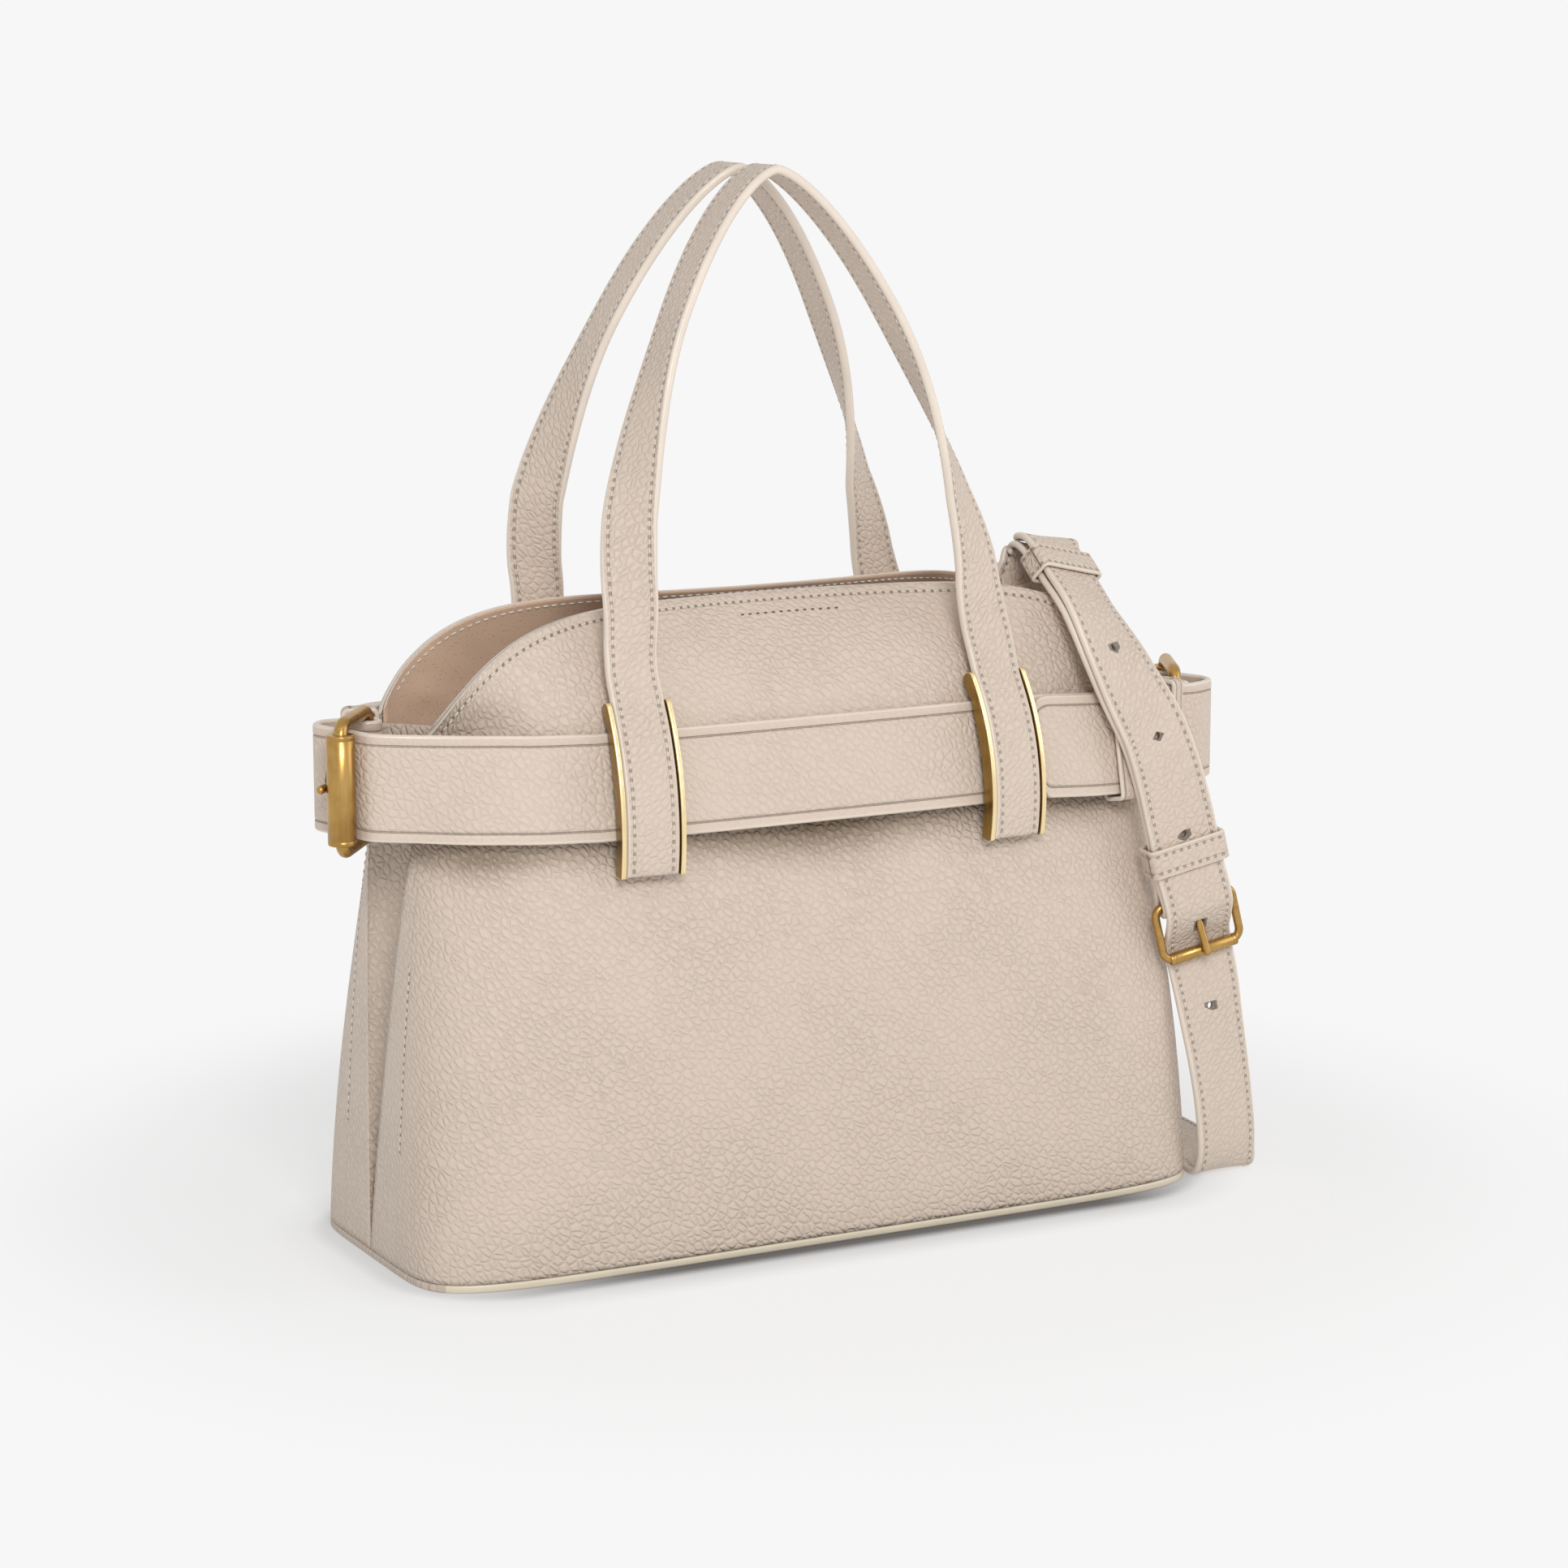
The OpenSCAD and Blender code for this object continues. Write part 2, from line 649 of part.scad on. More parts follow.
module buckle_prong() {
    ring_in = buckle_rod / 2 + run;
    ring_out = ring_in + 1.6;
    reach = buckle_l + 2;
    tilt = prong_tilt;
    difference() {
        union() {
            translate([0, 0, -2]) cylinder(r = ring_out, h = 4);
            rotate([0, 0, tilt]) rotate([0, 90, 0]) cylinder(d = prong_d, h = reach);
        }
        translate([0, 0, -3]) cylinder(r = ring_in, h = 6);
    }
    rotate([0, 0, tilt]) translate([reach, 0, 0]) sphere(d = prong_d);
}

module left_buckle_frame() {
    color(brass) place_buckle(heel_left, frame_left, buckle_z_left) buckle_frame();
}
module left_buckle_roller() {
    color(brass) place_buckle(heel_left, frame_left, buckle_z_left) buckle_roller();
}
module left_buckle_prong() {
    color(brass) place_buckle(heel_left, frame_left, buckle_z_left) buckle_prong();
}
module right_buckle_frame() {
    color(brass) place_buckle(heel_right, frame_right, buckle_z_right) buckle_frame();
}
module right_buckle_roller() {
    color(brass) place_buckle(heel_right, frame_right, buckle_z_right) buckle_roller();
}
module right_buckle_prong() {
    color(brass) place_buckle(heel_right, frame_right, buckle_z_right) buckle_prong();
}

// Keepers
keeper_t = 1.6;
module rounded(w, h, r) {
    square([w - 2 * r, h], center = true);
    square([w, h - 2 * r], center = true);
    for (sx = [-1, 1], sy = [-1, 1]) translate([sx * (w / 2 - r), sy * (h / 2 - r)]) circle(r = r);
}

// Loop of a keeper: the strap runs through it along X, its width is along Z
module keeper_loop(inner_w, inner_t, length) {
    rotate([0, 90, 0]) translate([0, 0, -length / 2]) linear_extrude(length) difference() {
        rounded(inner_w + 2 * keeper_t, inner_t + 2 * keeper_t, 1.8);
        rounded(inner_w, inner_t, 0.8);
    }
}

// Places a keeper on a straight stretch of the belt between two plan points
module at_stretch(p, q, lean, z) {
    d = unit(q - p);
    m = (p + q) / 2;
    translate([m[0], m[1], z]) rotate([0, 0, atan2(d[1], d[0])]) rotate([-lean, 0, 0]) children();
}

keeper_x = body_end + 1;
module tip_keeper(side) {
    near = belt_on_body(side * -(body_end - 3), side, 0.5);
    far = [side * -(end_a + 3 * (side < 0 ? 1 : 0)), side * (end_y + layer / 2 - (side < 0 ? 0.2 : 0))];
    at_stretch(near, mix(near, far, 0.8), lean_at(keeper_x + 1), belt_mid(side * -keeper_x))
        keeper_loop(belt_w + 2.2, 2 * belt_t + 2.6, 13);
}
module front_tip_keeper() {
    color(leather) tip_keeper(-1);
}
module back_tip_keeper() {
    color(leather) tip_keeper(1);
}

module buckle_keeper(heel, along, face, z, back, length) {
    p = heel - back * along + (layer / 2 + 0.4) * face;
    translate([p[0], p[1], z]) rotate([0, 0, atan2(along[1], along[0])])
        keeper_loop(belt_w + 1.2, 3 * belt_t + 8 * seat, length);
}
module right_buckle_keeper() {
    color(leather) buckle_keeper(heel_right, arrive_right, face_right, belt_mid(heel_right[0] - 12), 12, 7);
}
module left_buckle_keeper() {
    color(leather) buckle_keeper(heel_left, arrive_left, face_left, belt_mid(heel_left[0]), 12.5, 7);
}

// Shoulder strap. Its two pieces overlap from the sliding keeper down to the buckle; the
// outer piece goes on to the floor and round behind the bag.

strap_gap = strap_t + seat;
bar_d = 3;
strap_rod = 3.2;
strap_fold_r = strap_rod / 2 + seat + strap_t / 2;
strap_half_gap = strap_t / 2 + 0.15;
frame_down = unit([0.235, -0.03, -0.972]);
frame_hint = [0.96, -0.15, 0.22];
frame_across = unit(frame_hint - frame_down * (frame_down * frame_hint));
frame_face = cross(frame_down, frame_across);
strap_buckle_l = 21;
strap_heel = [152.1, -55.7, 111.2];

// Point of the buckle's plane: u down the strap, v outwards
function sb(u, v) = strap_heel + u * frame_down + v * frame_face;

// Each row is a point of the middle of the strap and a hint of its width direction
top_w = [0.93, 0.33, -0.14];
upper_outer = [
    [[116.6, -2.5, 243], top_w],
    [[116, -10.5, 242], top_w],
    [[116.75, -23.2, 231.8], top_w],
    [[117.5, -36, 221.5], top_w],
    [[121.2, -46.5, 206.6], [0.96, 0.2, 0]],
    [[127, -52, 191.6], [0.97, 0.1, 0.1]],
    [[134.3, -55.4, 176.2], [0.97, 0, 0.15]],
    [[139.2, -57.6, 160.8], [0.96, -0.08, 0.2]],
    [[143, -58.8, 146], frame_across]
];
at_buckle_outer = [
    [sb(-24, strap_half_gap + strap_gap), frame_across],
    [sb(-13, strap_half_gap + strap_gap), frame_across],
    [sb(-4, 5.7), frame_across],
    [sb(3, 5.6), frame_across],
    [sb(9.5, 1.6), frame_across],
    [sb(15.5, -3.2), frame_across],
    [sb(21.5, -4.4), frame_across]
];
lower_outer = [
    [[160.3, -53.2, 78], [0.97, -0.1, 0.2]],
    [[162.1, -55, 64.4], [0.98, 0, 0.15]],
    [[164.3, -56.8, 48.7], [0.98, 0.08, 0.1]],
    [[166.6, -57.6, 32.7], [0.98, 0.12, 0.08]],
    [[169, -56.8, 16.1], [0.98, 0.12, 0.05]],
    [[170.4, -53.6, 6], [0.98, 0.1, 0]],
    [[172.2, -47, 1.75], [0.98, 0, 0]],
    [[175.2, -36, strap_t / 2 + 0.05], [0.98, -0.15, 0]],
    [[181, -10, strap_t / 2 + 0.05], [0.98, -0.15, 0]],
    [[184, 18, strap_t / 2 + 0.05], [1, 0, 0]],
    [[183.6, 38, 2.2], [1, 0.05, 0]],
    [[181.2, 50, 8], [1, 0, 0]],
    [[177, 56, 21], [0.98, -0.1, 0]],
    [[169.5, 59, 46], [0.97, -0.1, 0.2]],
    [[161, 58, 80], [0.97, -0.1, 0.2]],
    [[152.5, 55, 118], [0.97, -0.1, 0.2]],
    [[144.5, 51.5, 152], [0.97, -0.12, 0.2]],
    [[136.5, 47.5, 180], [0.97, -0.2, 0.1]],
    [[127, 42.5, 203], [0.96, -0.28, 0]],
    [[119.5, 36.6, 219.5], [0.95, -0.3, -0.15]],
    [[115, 27.5, 229], [0.94, -0.3, -0.22]],
    [[112.6, 20, 227.6], [0.95, 0, -0.15]]
];

// Hooks, rings and tabs inside the right end of the mouth
ring_x = waist_w / 2 - 32.5;
ring_z = belt_z + 3;
ring_r = 13;
ring_top = ring_z + 3;
wire_front = [ring_x, -5, ring_top + sqrt(ring_r * ring_r - 25)];
wire_back = [ring_x, 7, ring_top + sqrt(ring_r * ring_r - 49)];
hook_reach = 18.8;
hook_front_down = unit([4, -1, -18]);
hook_back_down = unit([4, -5, -17.5]);
eye_front = wire_front - hook_reach * hook_front_down;
eye_back = wire_back - hook_reach * hook_back_down;
function across_of(down, hint) = unit(hint - down * (down * hint));
eye_front_across = across_of(hook_front_down, [0.99, -0.12, 0]);
eye_back_across = across_of(hook_back_down, [0.99, 0.12, 0]);
eye_rod = 3;
eye_fold_r = eye_rod / 2 + seat + strap_t / 2;

// Folded strap end round a bar: h is the bar, a the way in and n the face it comes in on
function fold_over(h, a, n, r, tail) = concat(
    [h - 13 * a + strap_half_gap * n, h - 8 * a + (strap_half_gap + 0.1) * n, h - 4 * a + r * 0.8 * n],
    [for (s = [90:-30:-90]) h + r * (cos(s) * a + sin(s) * n)],
    [h - 4 * a - r * 0.8 * n, h - 8 * a - (strap_half_gap + 0.1) * n, h - tail * a - strap_half_gap * n]
);
function reversed(p) = [for (i = [len(p) - 1:-1:0]) p[i]];

// Inner piece: from the front hook over the rim and down under the outer piece
function out_at(rows, i) =
    let (
        d = unit(rows[min(i + 1, len(rows) - 1)][0] - rows[max(i - 1, 0)][0]),
        w = unit(rows[i][1] - d * (d * rows[i][1]))
    )
    cross(d, w);
outer_rows = concat(upper_outer, at_buckle_outer);
under_rows = [for (i = [0:9]) [outer_rows[i][0] - strap_gap * (i < 2 ? 1.48 : i == 2 ? 1.2 : 1.06) * out_at(outer_rows, i), outer_rows[i][1]]];
eye_front_face = cross(-hook_front_down, eye_front_across);
buckle_side_rows = concat(
    [for (p = reversed(fold_over(eye_front, hook_front_down, eye_front_face, eye_fold_r, 17)))
        [p, eye_front_across]],
    [
        [[112.6, 0.2, 231], [0.95, 0.1, -0.1]],
        [[114.6, 2.8, 236.6], top_w]
    ],
    under_rows,
    [for (p = fold_over(strap_heel, frame_down, frame_face, strap_fold_r, 22)) [p, frame_across]]
);
eye_back_face = cross(hook_back_down, eye_back_across);
hole_side_rows = concat(
    outer_rows,
    lower_outer,
    [for (p = fold_over(eye_back, hook_back_down, eye_back_face, eye_fold_r, 17)) [p, eye_back_across]]
);

module strap(rows, steps, round_tip) {
    c = spline([for (r = rows) r[0]], steps);
    hints = spline([for (r = rows) r[1]], steps);
    n = len(c);
    along = [for (i = [0:n - 1]) heading(c, i)];
    across = [for (i = [0:n - 1]) unit(hints[i] - along[i] * (along[i] * hints[i]))];
    out = [for (i = [0:n - 1]) cross(along[i], across[i])];
    widths = [for (i = [0:n - 1]) round_tip ? end_width(strap_w, min(40, norm(c[i] - c[0])) + 0.4, tip_r)
        : strap_w];
    ribbon(c, across, out, widths, strap_t);
}

// Turns a piece made in the buckle's plane (X down the strap, Y outwards, Z across)
module in_plane(origin, x, y, z) {
    multmatrix([
        [x[0], y[0], z[0], origin[0]],
        [x[1], y[1], z[1], origin[1]],
        [x[2], y[2], z[2], origin[2]]
    ]) children();
}
module at_strap_buckle() {
    in_plane(strap_heel, frame_down, frame_face, -frame_across) children();
}

strap_prong_d = 3;
strap_roller_d = 4.6;
strap_tilt = asin((strap_roller_d / 2 + strap_prong_d / 2 + 0.15) / strap_buckle_l);
strap_frame_half = strap_w / 2 + 0.7 + strap_rod / 2;

module strap_buckle_side() {
    color(leather) difference() {
        strap(buckle_side_rows, 2, false);
        at_strap_buckle() translate([-4.6, -5.5, -2.4]) cube([12, 11, 4.8]);
    }
}

module strap_hole_side() {
    color(leather) difference() {
        strap(hole_side_rows, 2, true);
        at_strap_buckle() for (lift = [0:prong_lift / 2:prong_lift + 0.2]) rotate([0, 0, strap_tilt + lift])
            translate([5, 0, 0]) rotate([0, 90, 0]) cylinder(d = strap_prong_d + 1, h = 11);
    }
}

module strap_buckle_frame() {
    r = strap_rod / 2;
    color(brass) at_strap_buckle() {
        for (s = [-1, 1]) translate([0, 0, s * strap_frame_half]) {
            rotate([0, 90, 0]) cylinder(r = r, h = strap_buckle_l);
            sphere(r = r);
            translate([strap_buckle_l, 0, 0]) sphere(r = r);
        }
        translate([0, 0, -strap_frame_half]) cylinder(r = r, h = 2 * strap_frame_half);
        translate([strap_buckle_l, 0, -strap_frame_half]) cylinder(d = 2.4, h = 2 * strap_frame_half);
    }
}

module strap_buckle_roller() {
    h = 2 * (strap_frame_half - strap_rod / 2 - 0.4);
    color(brass) at_strap_buckle() translate([strap_buckle_l, 0, 0]) difference() {
        translate([0, 0, -h / 2]) cylinder(d = strap_roller_d, h = h);
        translate([0, 0, -h]) cylinder(d = 2.4 + 2 * run, h = 2 * h);
    }
}

module strap_buckle_prong() {
    ring_in = strap_rod / 2 + run;
    color(brass) at_strap_buckle() {
        difference() {
            union() {
                translate([0, 0, -1.7]) cylinder(r = ring_in + 1.3, h = 3.4);
                rotate([0, 0, strap_tilt]) rotate([0, 90, 0])
                    cylinder(d = strap_prong_d, h = strap_buckle_l + 0.5);
            }
            translate([0, 0, -3]) cylinder(r = ring_in, h = 6);
        }
        rotate([0, 0, strap_tilt]) translate([strap_buckle_l + 0.5, 0, 0]) sphere(d = strap_prong_d);
    }
}

module strap_fixed_keeper() {
    color(leather) in_plane(sb(-18.5, strap_gap / 2), frame_down, frame_face, -frame_across)
        keeper_loop(strap_w + 1, 3 * strap_t + 6 * seat, 11);
}

// Keeper that slides on the straight stretch at the top of the rim
slide_from = upper_outer[1][0];
slide_to = upper_outer[3][0];
slide_dir = unit(slide_to - slide_from);
slide_across = unit(top_w - slide_dir * (slide_dir * top_w));
slide_face = cross(slide_dir, slide_across);
module strap_sliding_keeper() {
    color(leather) in_plane(slide_from + 10.5 * slide_dir - (strap_gap / 2 + 0.4) * slide_face,
        slide_dir, slide_face, -slide_across) keeper_loop(strap_w + 1.2, 2 * strap_t + 8 * seat, 11);
}

// D shaped ring: its bar on Y at the origin, its arc on the +Z side
module d_ring() {
    rotate([90, 0, 0]) translate([0, 0, -ring_r]) cylinder(d = eye_rod, h = 2 * ring_r);
    for (s = [-1, 1]) translate([0, s * ring_r, 0]) {
        sphere(d = eye_rod);
        cylinder(d = eye_rod, h = 3);
    }
    translate([0, 0, 3]) rotate([90, 0, 90]) rotate_extrude(angle = 180) translate([ring_r, 0])
        circle(d = eye_rod);
}

tab_w = 18;
module ring_tab() {
    a = unit([-0.52, 0, 0.854]);
    n = unit([0.854, 0, 0.52]);
    path = fold_over([ring_x, 0, ring_z], a, n, eye_fold_r, 15);
    flat = concat([path[0] - 4 * a], path);
    m = len(flat);
    along = [for (i = [0:m - 1]) heading(flat, i)];
    ribbon(flat, [for (i = [0:m - 1]) [0, 1, 0]], [for (i = [0:m - 1]) cross(along[i], [0, 1, 0])],
        [for (i = [0:m - 1]) tab_w], strap_t);
}

ring_hang = 10;
module right_d_ring() {
    color(brass) translate([ring_x, 0, ring_z]) d_ring();
}
module left_d_ring() {
    color(brass) translate([-ring_x, 0, ring_z]) rotate([0, 180 - ring_hang, 0]) d_ring();
}
module right_ring_tab() {
    color(leather_shade) ring_tab();
}
module left_ring_tab() {
    color(leather_shade) rotate([0, 0, 180]) ring_tab();
}

// Snap hook in its own plane: the strap's bar at the origin, the ring's wire on +X
eye_half = strap_w / 2 + 0.7 + eye_rod / 2;
hook_r = 4.4;
hook_rod = 3.2;
gate_pin = 1.4;
gate_at = [13.2, 4.6, 0];
module snap_hook(down, w, turn, place) {
    t = across_of(down, turn);
    in_plane(place, down, cross(-w, down), -w) {
        translate([0, 0, -eye_half]) cylinder(d = eye_rod, h = 2 * eye_half);
        translate([7, 0, -eye_half]) cylinder(d = eye_rod, h = 2 * eye_half);
        for (s = [-1, 1], x = [0, 7]) translate([x, 0, s * eye_half]) sphere(d = eye_rod);
        for (s = [-1, 1]) translate([0, 0, s * eye_half]) rotate([0, 90, 0]) cylinder(d = eye_rod, h = 7);
        rotate([0, 90, 0]) translate([0, 0, 7]) cylinder(d = 5.6, h = 5.6);
    }
    in_plane(place, down, cross(t, down), t) {
        translate([18, 0, 0]) rotate([0, 0, 175]) rotate_extrude(angle = 228) translate([hook_r, 0])
            circle(d = hook_rod);
        translate([0, 0, -1.8]) translate(gate_at) cylinder(d = gate_pin, h = 3.6);
        for (s = [-1, 1]) {
            translate([0, 0, s * 1.75 - 0.5]) translate(gate_at) cylinder(r = 1.4, h = 1);
            translate([11.2, 1, s * 1.75 - 0.5]) cube([2.6, 3.6, 1]);
        }
    }
}
module snap_gate(down, turn, place) {
    t = across_of(down, turn);
    in_plane(place, down, cross(t, down), t) translate(gate_at) difference() {
        union() {
            translate([0, 0, -1.1]) cylinder(r = 1.5, h = 2.2);
            rotate([0, 0, -2]) rotate([0, 90, 0]) cylinder(d = 2, h = 5.6);
        }
        translate([0, 0, -2]) cylinder(d = gate_pin + 2 * run, h = 4);
    }
}
wire_turn = [0, 1, 0];
module hook_front() {
    color(brass) snap_hook(hook_front_down, eye_front_across, wire_turn, eye_front);
}
module gate_front() {
    color(brass) snap_gate(hook_front_down, wire_turn, eye_front);
}
module hook_back() {
    color(brass) snap_hook(hook_back_down, eye_back_across, wire_turn, eye_back);
}
module gate_back() {
    color(brass) snap_gate(hook_back_down, wire_turn, eye_back);
}

front_panel();
back_panel();
left_gusset();
right_gusset();
base_panel();
base_board();
lining();
magnet_front();
magnet_back();
front_belt();
back_belt();
front_tip_keeper();
back_tip_keeper();
right_buckle_keeper();
left_buckle_keeper();
left_buckle_frame();
left_buckle_roller();
left_buckle_prong();
right_buckle_frame();
right_buckle_roller();
right_buckle_prong();
front_left_bracket();
front_right_bracket();
back_left_bracket();
back_right_bracket();
front_left_tab();
front_right_tab();
back_left_tab();
back_right_tab();
front_handle();
back_handle();
strap_buckle_side();
strap_hole_side();
strap_fixed_keeper();
strap_sliding_keeper();
strap_buckle_frame();
strap_buckle_roller();
strap_buckle_prong();
left_d_ring();
right_d_ring();
left_ring_tab();
right_ring_tab();
hook_front();
gate_front();
hook_back();
gate_back();
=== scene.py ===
"""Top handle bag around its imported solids: soft leather, lining, straps, brass and stage.

Run as a script. Lengths inside the shape functions are millimetres, +Z is up and the
front of the bag faces -Y. Meshes are written in metres.
"""
import math

import bpy
import numpy as np
from bpy.props import FloatProperty, FloatVectorProperty, PointerProperty
from bpy.types import Operator, Panel, PropertyGroup
from mathutils import Matrix


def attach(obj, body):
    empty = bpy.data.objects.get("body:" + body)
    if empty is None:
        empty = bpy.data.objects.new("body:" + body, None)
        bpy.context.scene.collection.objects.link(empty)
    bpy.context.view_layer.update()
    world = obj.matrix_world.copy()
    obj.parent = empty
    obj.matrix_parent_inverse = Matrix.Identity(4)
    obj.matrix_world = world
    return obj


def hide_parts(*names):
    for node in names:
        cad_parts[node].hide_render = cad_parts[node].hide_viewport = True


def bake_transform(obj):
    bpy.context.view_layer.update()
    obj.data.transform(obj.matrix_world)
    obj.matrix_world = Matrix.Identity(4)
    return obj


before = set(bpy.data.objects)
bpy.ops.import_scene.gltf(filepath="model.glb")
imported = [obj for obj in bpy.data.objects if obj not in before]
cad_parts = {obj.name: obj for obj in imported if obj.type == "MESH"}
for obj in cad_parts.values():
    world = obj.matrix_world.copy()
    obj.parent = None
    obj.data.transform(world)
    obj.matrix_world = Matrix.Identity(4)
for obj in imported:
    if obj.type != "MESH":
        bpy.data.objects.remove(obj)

bl_info = {
    "name": "Top handle bag",
    "version": (1, 0, 0),
    "blender": (4, 5, 0),
    "location": "3D View > Sidebar > Bag",
    "description": "Leather, lining, straps, brass and stage of a top handle bag",
    "category": "Object",
}

# A millimetre in metres
MM = 0.001
# Room between pieces that lie on one another, in millimetres
SEAT = 0.3
X, Y, Z = np.eye(3)

# Distance of the rows of stitches from the rim: outside, on the lining and the short row in front
RIM_ROW, LINING_ROW, SHORT_ROW_DOWN = 3.6, 3.4, 9.5
# Ends in x of the short row
SHORT_ROW = (-21.0, 25.0)
# Height up to which the side rows of the front panel are seen
SIDE_ROW_TOP = 112
# Exponents of the superellipse that is the bag's plan at the base and at the belt
BASE_POWER, BELT_POWER = 7, 3.4
# Shift of the grain on the underside of a strap, so that it isn't the upper side's
UNDERSIDE = 400.0
# Punched holes, as distances from the tip along the shoulder strap
STRAP_HOLES = (59.0, 96.0, 135.0, 209.0)
# Least and greatest radius of a bracket's rails
RAIL_INNER, RAIL_OUTER = 73.7, 79.9
# Width of a rail, and the play between it and the handle's strap
RAIL_WIDTH, RAIL_PLAY = 1.8, 0.25
# Turn of each bracket about the upright axis, to follow the curve of the front
BRACKET_YAW = math.radians(5)
# Lean of the belt's face on the panels
BELT_LEAN = math.radians(13)
# Camera that sees the bag as the photo does: focal length, place in metres and direction
CAMERA_LENS, CAMERA_AT, CAMERA_FORWARD = 94.86, (-0.6895, -1.3309, 0.4471), (0.4557, 0.8698, -0.1889)


# Sizes and colours that a user may change

def length(name, about, default):
    return FloatProperty(name=name, description=about, default=default, unit="LENGTH", precision=5)


def colour(name, about, default):
    return FloatVectorProperty(
        name=name, description=about, default=default, subtype="COLOR", size=3, min=0, max=1
    )


class BagBodySizes(PropertyGroup):
    base_width: length("Base width", "Width of the base", 0.320)
    base_depth: length("Base depth", "Depth of the base", 0.124)
    waist_width: length("Waist width", "Width of the body at the belt", 0.298)
    waist_depth: length("Waist depth", "Depth of the body at the belt", 0.0928)
    belt_height: length("Belt height", "Height of the middle of the belt", 0.174)
    rim_height: length("Rim height", "Height of the rim in the middle", 0.232)
    mouth_height: length("Mouth height", "Height of the rim at the gussets", 0.192)
    arch_half: length("Arch half width", "Half width of the arch of the rim", 0.144)
    leather: length("Leather", "Thickness of the outer leather", 0.002)
    lining: length("Lining", "Thickness of the lining", 0.0008)
    dent: length("Belt dent", "How far the belt presses the front in under its middle", 0.0046)
    crumple: length("Crumple", "Height of the soft wrinkles above the belt", 0.0008)


class BagStrapSizes(PropertyGroup):
    belt_width: length("Belt width", "Width of the belt", 0.038)
    belt_thickness: length("Belt thickness", "Thickness of the belt", 0.0026)
    handle_width: length("Handle width", "Width of the handle straps", 0.020)
    handle_thickness: length("Handle thickness", "Thickness of the handle straps", 0.0032)
    strap_width: length("Strap width", "Width of the shoulder strap", 0.0275)
    strap_thickness: length("Strap thickness", "Thickness of the shoulder strap", 0.0026)
    stitch_pitch: length("Stitch pitch", "Distance from one needle hole to the next", 0.0032)
    thread: length("Thread", "Width of the sewing thread", 0.0006)


class BagFinish(PropertyGroup):
    leather: colour("Leather", "Colour of the pebbled leather", (0.686, 0.570, 0.474))
    edge: colour("Edge paint", "Colour of the painted edges", (0.79, 0.69, 0.59))
    lining: colour("Lining", "Colour of the lining", (0.82, 0.59, 0.43))
    thread: colour("Thread", "Colour of the thread on the leather", (0.78, 0.71, 0.62))
    lining_thread: colour("Lining thread", "Colour of the thread on the lining", (0.83, 0.79, 0.72))
    brass: colour("Brass", "Colour of the aged brass", (0.49, 0.30, 0.095))
    grain: length("Grain", "Width of a pebble of the leather", 0.0029)


class BagStage(PropertyGroup):
    backdrop: colour("Backdrop", "Colour of the floor and background", (0.93, 0.93, 0.93))
    key: FloatProperty(name="Key light", description="Power of the large lamp", default=15.2, unit="POWER")
    fill: FloatProperty(name="Fill light", description="Power of the side lamp", default=5, unit="POWER")
    world: FloatProperty(name="World", description="Strength of the light from all round", default=0.5)
    floor: FloatProperty(name="Floor", description="How pale the floor looks near the bag", default=0.98)
    bounce: FloatProperty(name="Bounce", description="How much light the floor returns", default=0.6)


# Small vector tools on whole arrays

def unit(v):
    v = np.asarray(v, float)
    return v / np.maximum(np.linalg.norm(v, axis=-1, keepdims=True), 1e-9)


def smooth(t):
    return t * t * (3 - 2 * t)


def step(x, a, b):
    """0 before a, 1 after b, with a smooth rise between."""
    return smooth(np.clip((x - a) / (b - a), 0, 1))


def bump(x, middle, width):
    """Bell of height 1 round middle."""
    return np.exp(-(((x - middle) / width) ** 2))


def hermite(s, p0, p1, m0, m1):
    return (
        (2 * s**3 - 3 * s**2 + 1) * p0 + (s**3 - 2 * s**2 + s) * m0
        + (3 * s**2 - 2 * s**3) * p1 + (s**3 - s**2) * m1
    )


def spline(points, steps):
    """Catmull-Rom curve through the points, with that many steps in each span."""
    p = np.asarray(points, float)
    q = np.concatenate([p[:1], p, p[-1:]])
    s = (np.arange(steps) / steps)[None, :, None]
    a, b, c, d = (q[k : k + len(p) - 1, None, :] for k in range(4))
    curve = 0.5 * (
        2 * b + (c - a) * s + (2 * a - 5 * b + 4 * c - d) * s**2 + (3 * b - a - 3 * c + d) * s**3
    )
    return np.concatenate([curve.reshape(-1, p.shape[1]), p[-1:]])


def lengths(p, axis=0):
    """Length along each column (axis 0) or each row (axis 1) of points, from its first point."""
    first = p[:1] if axis == 0 else p[:, :1]
    return np.cumsum(np.linalg.norm(np.diff(p, axis=axis, prepend=first), axis=-1), axis=axis)


def resample(p, s, at):
    """Rows of p, which lie at distances s, worked out at the distances in at."""
    return np.stack([np.interp(at, s, p[:, k]) for k in range(p.shape[1])], axis=1)


def headings(p, closed=False):
    if closed:
        return unit(np.roll(p, -1, axis=0) - np.roll(p, 1, axis=0))
    return unit(np.concatenate([p[1:], p[-1:]]) - np.concatenate([p[:1], p[:-1]]))


def square_to(hints, along):
    """The part of each hint that is square to the path, made one long."""
    return unit(hints - along * np.sum(along * hints, axis=1, keepdims=True))


# Meshes

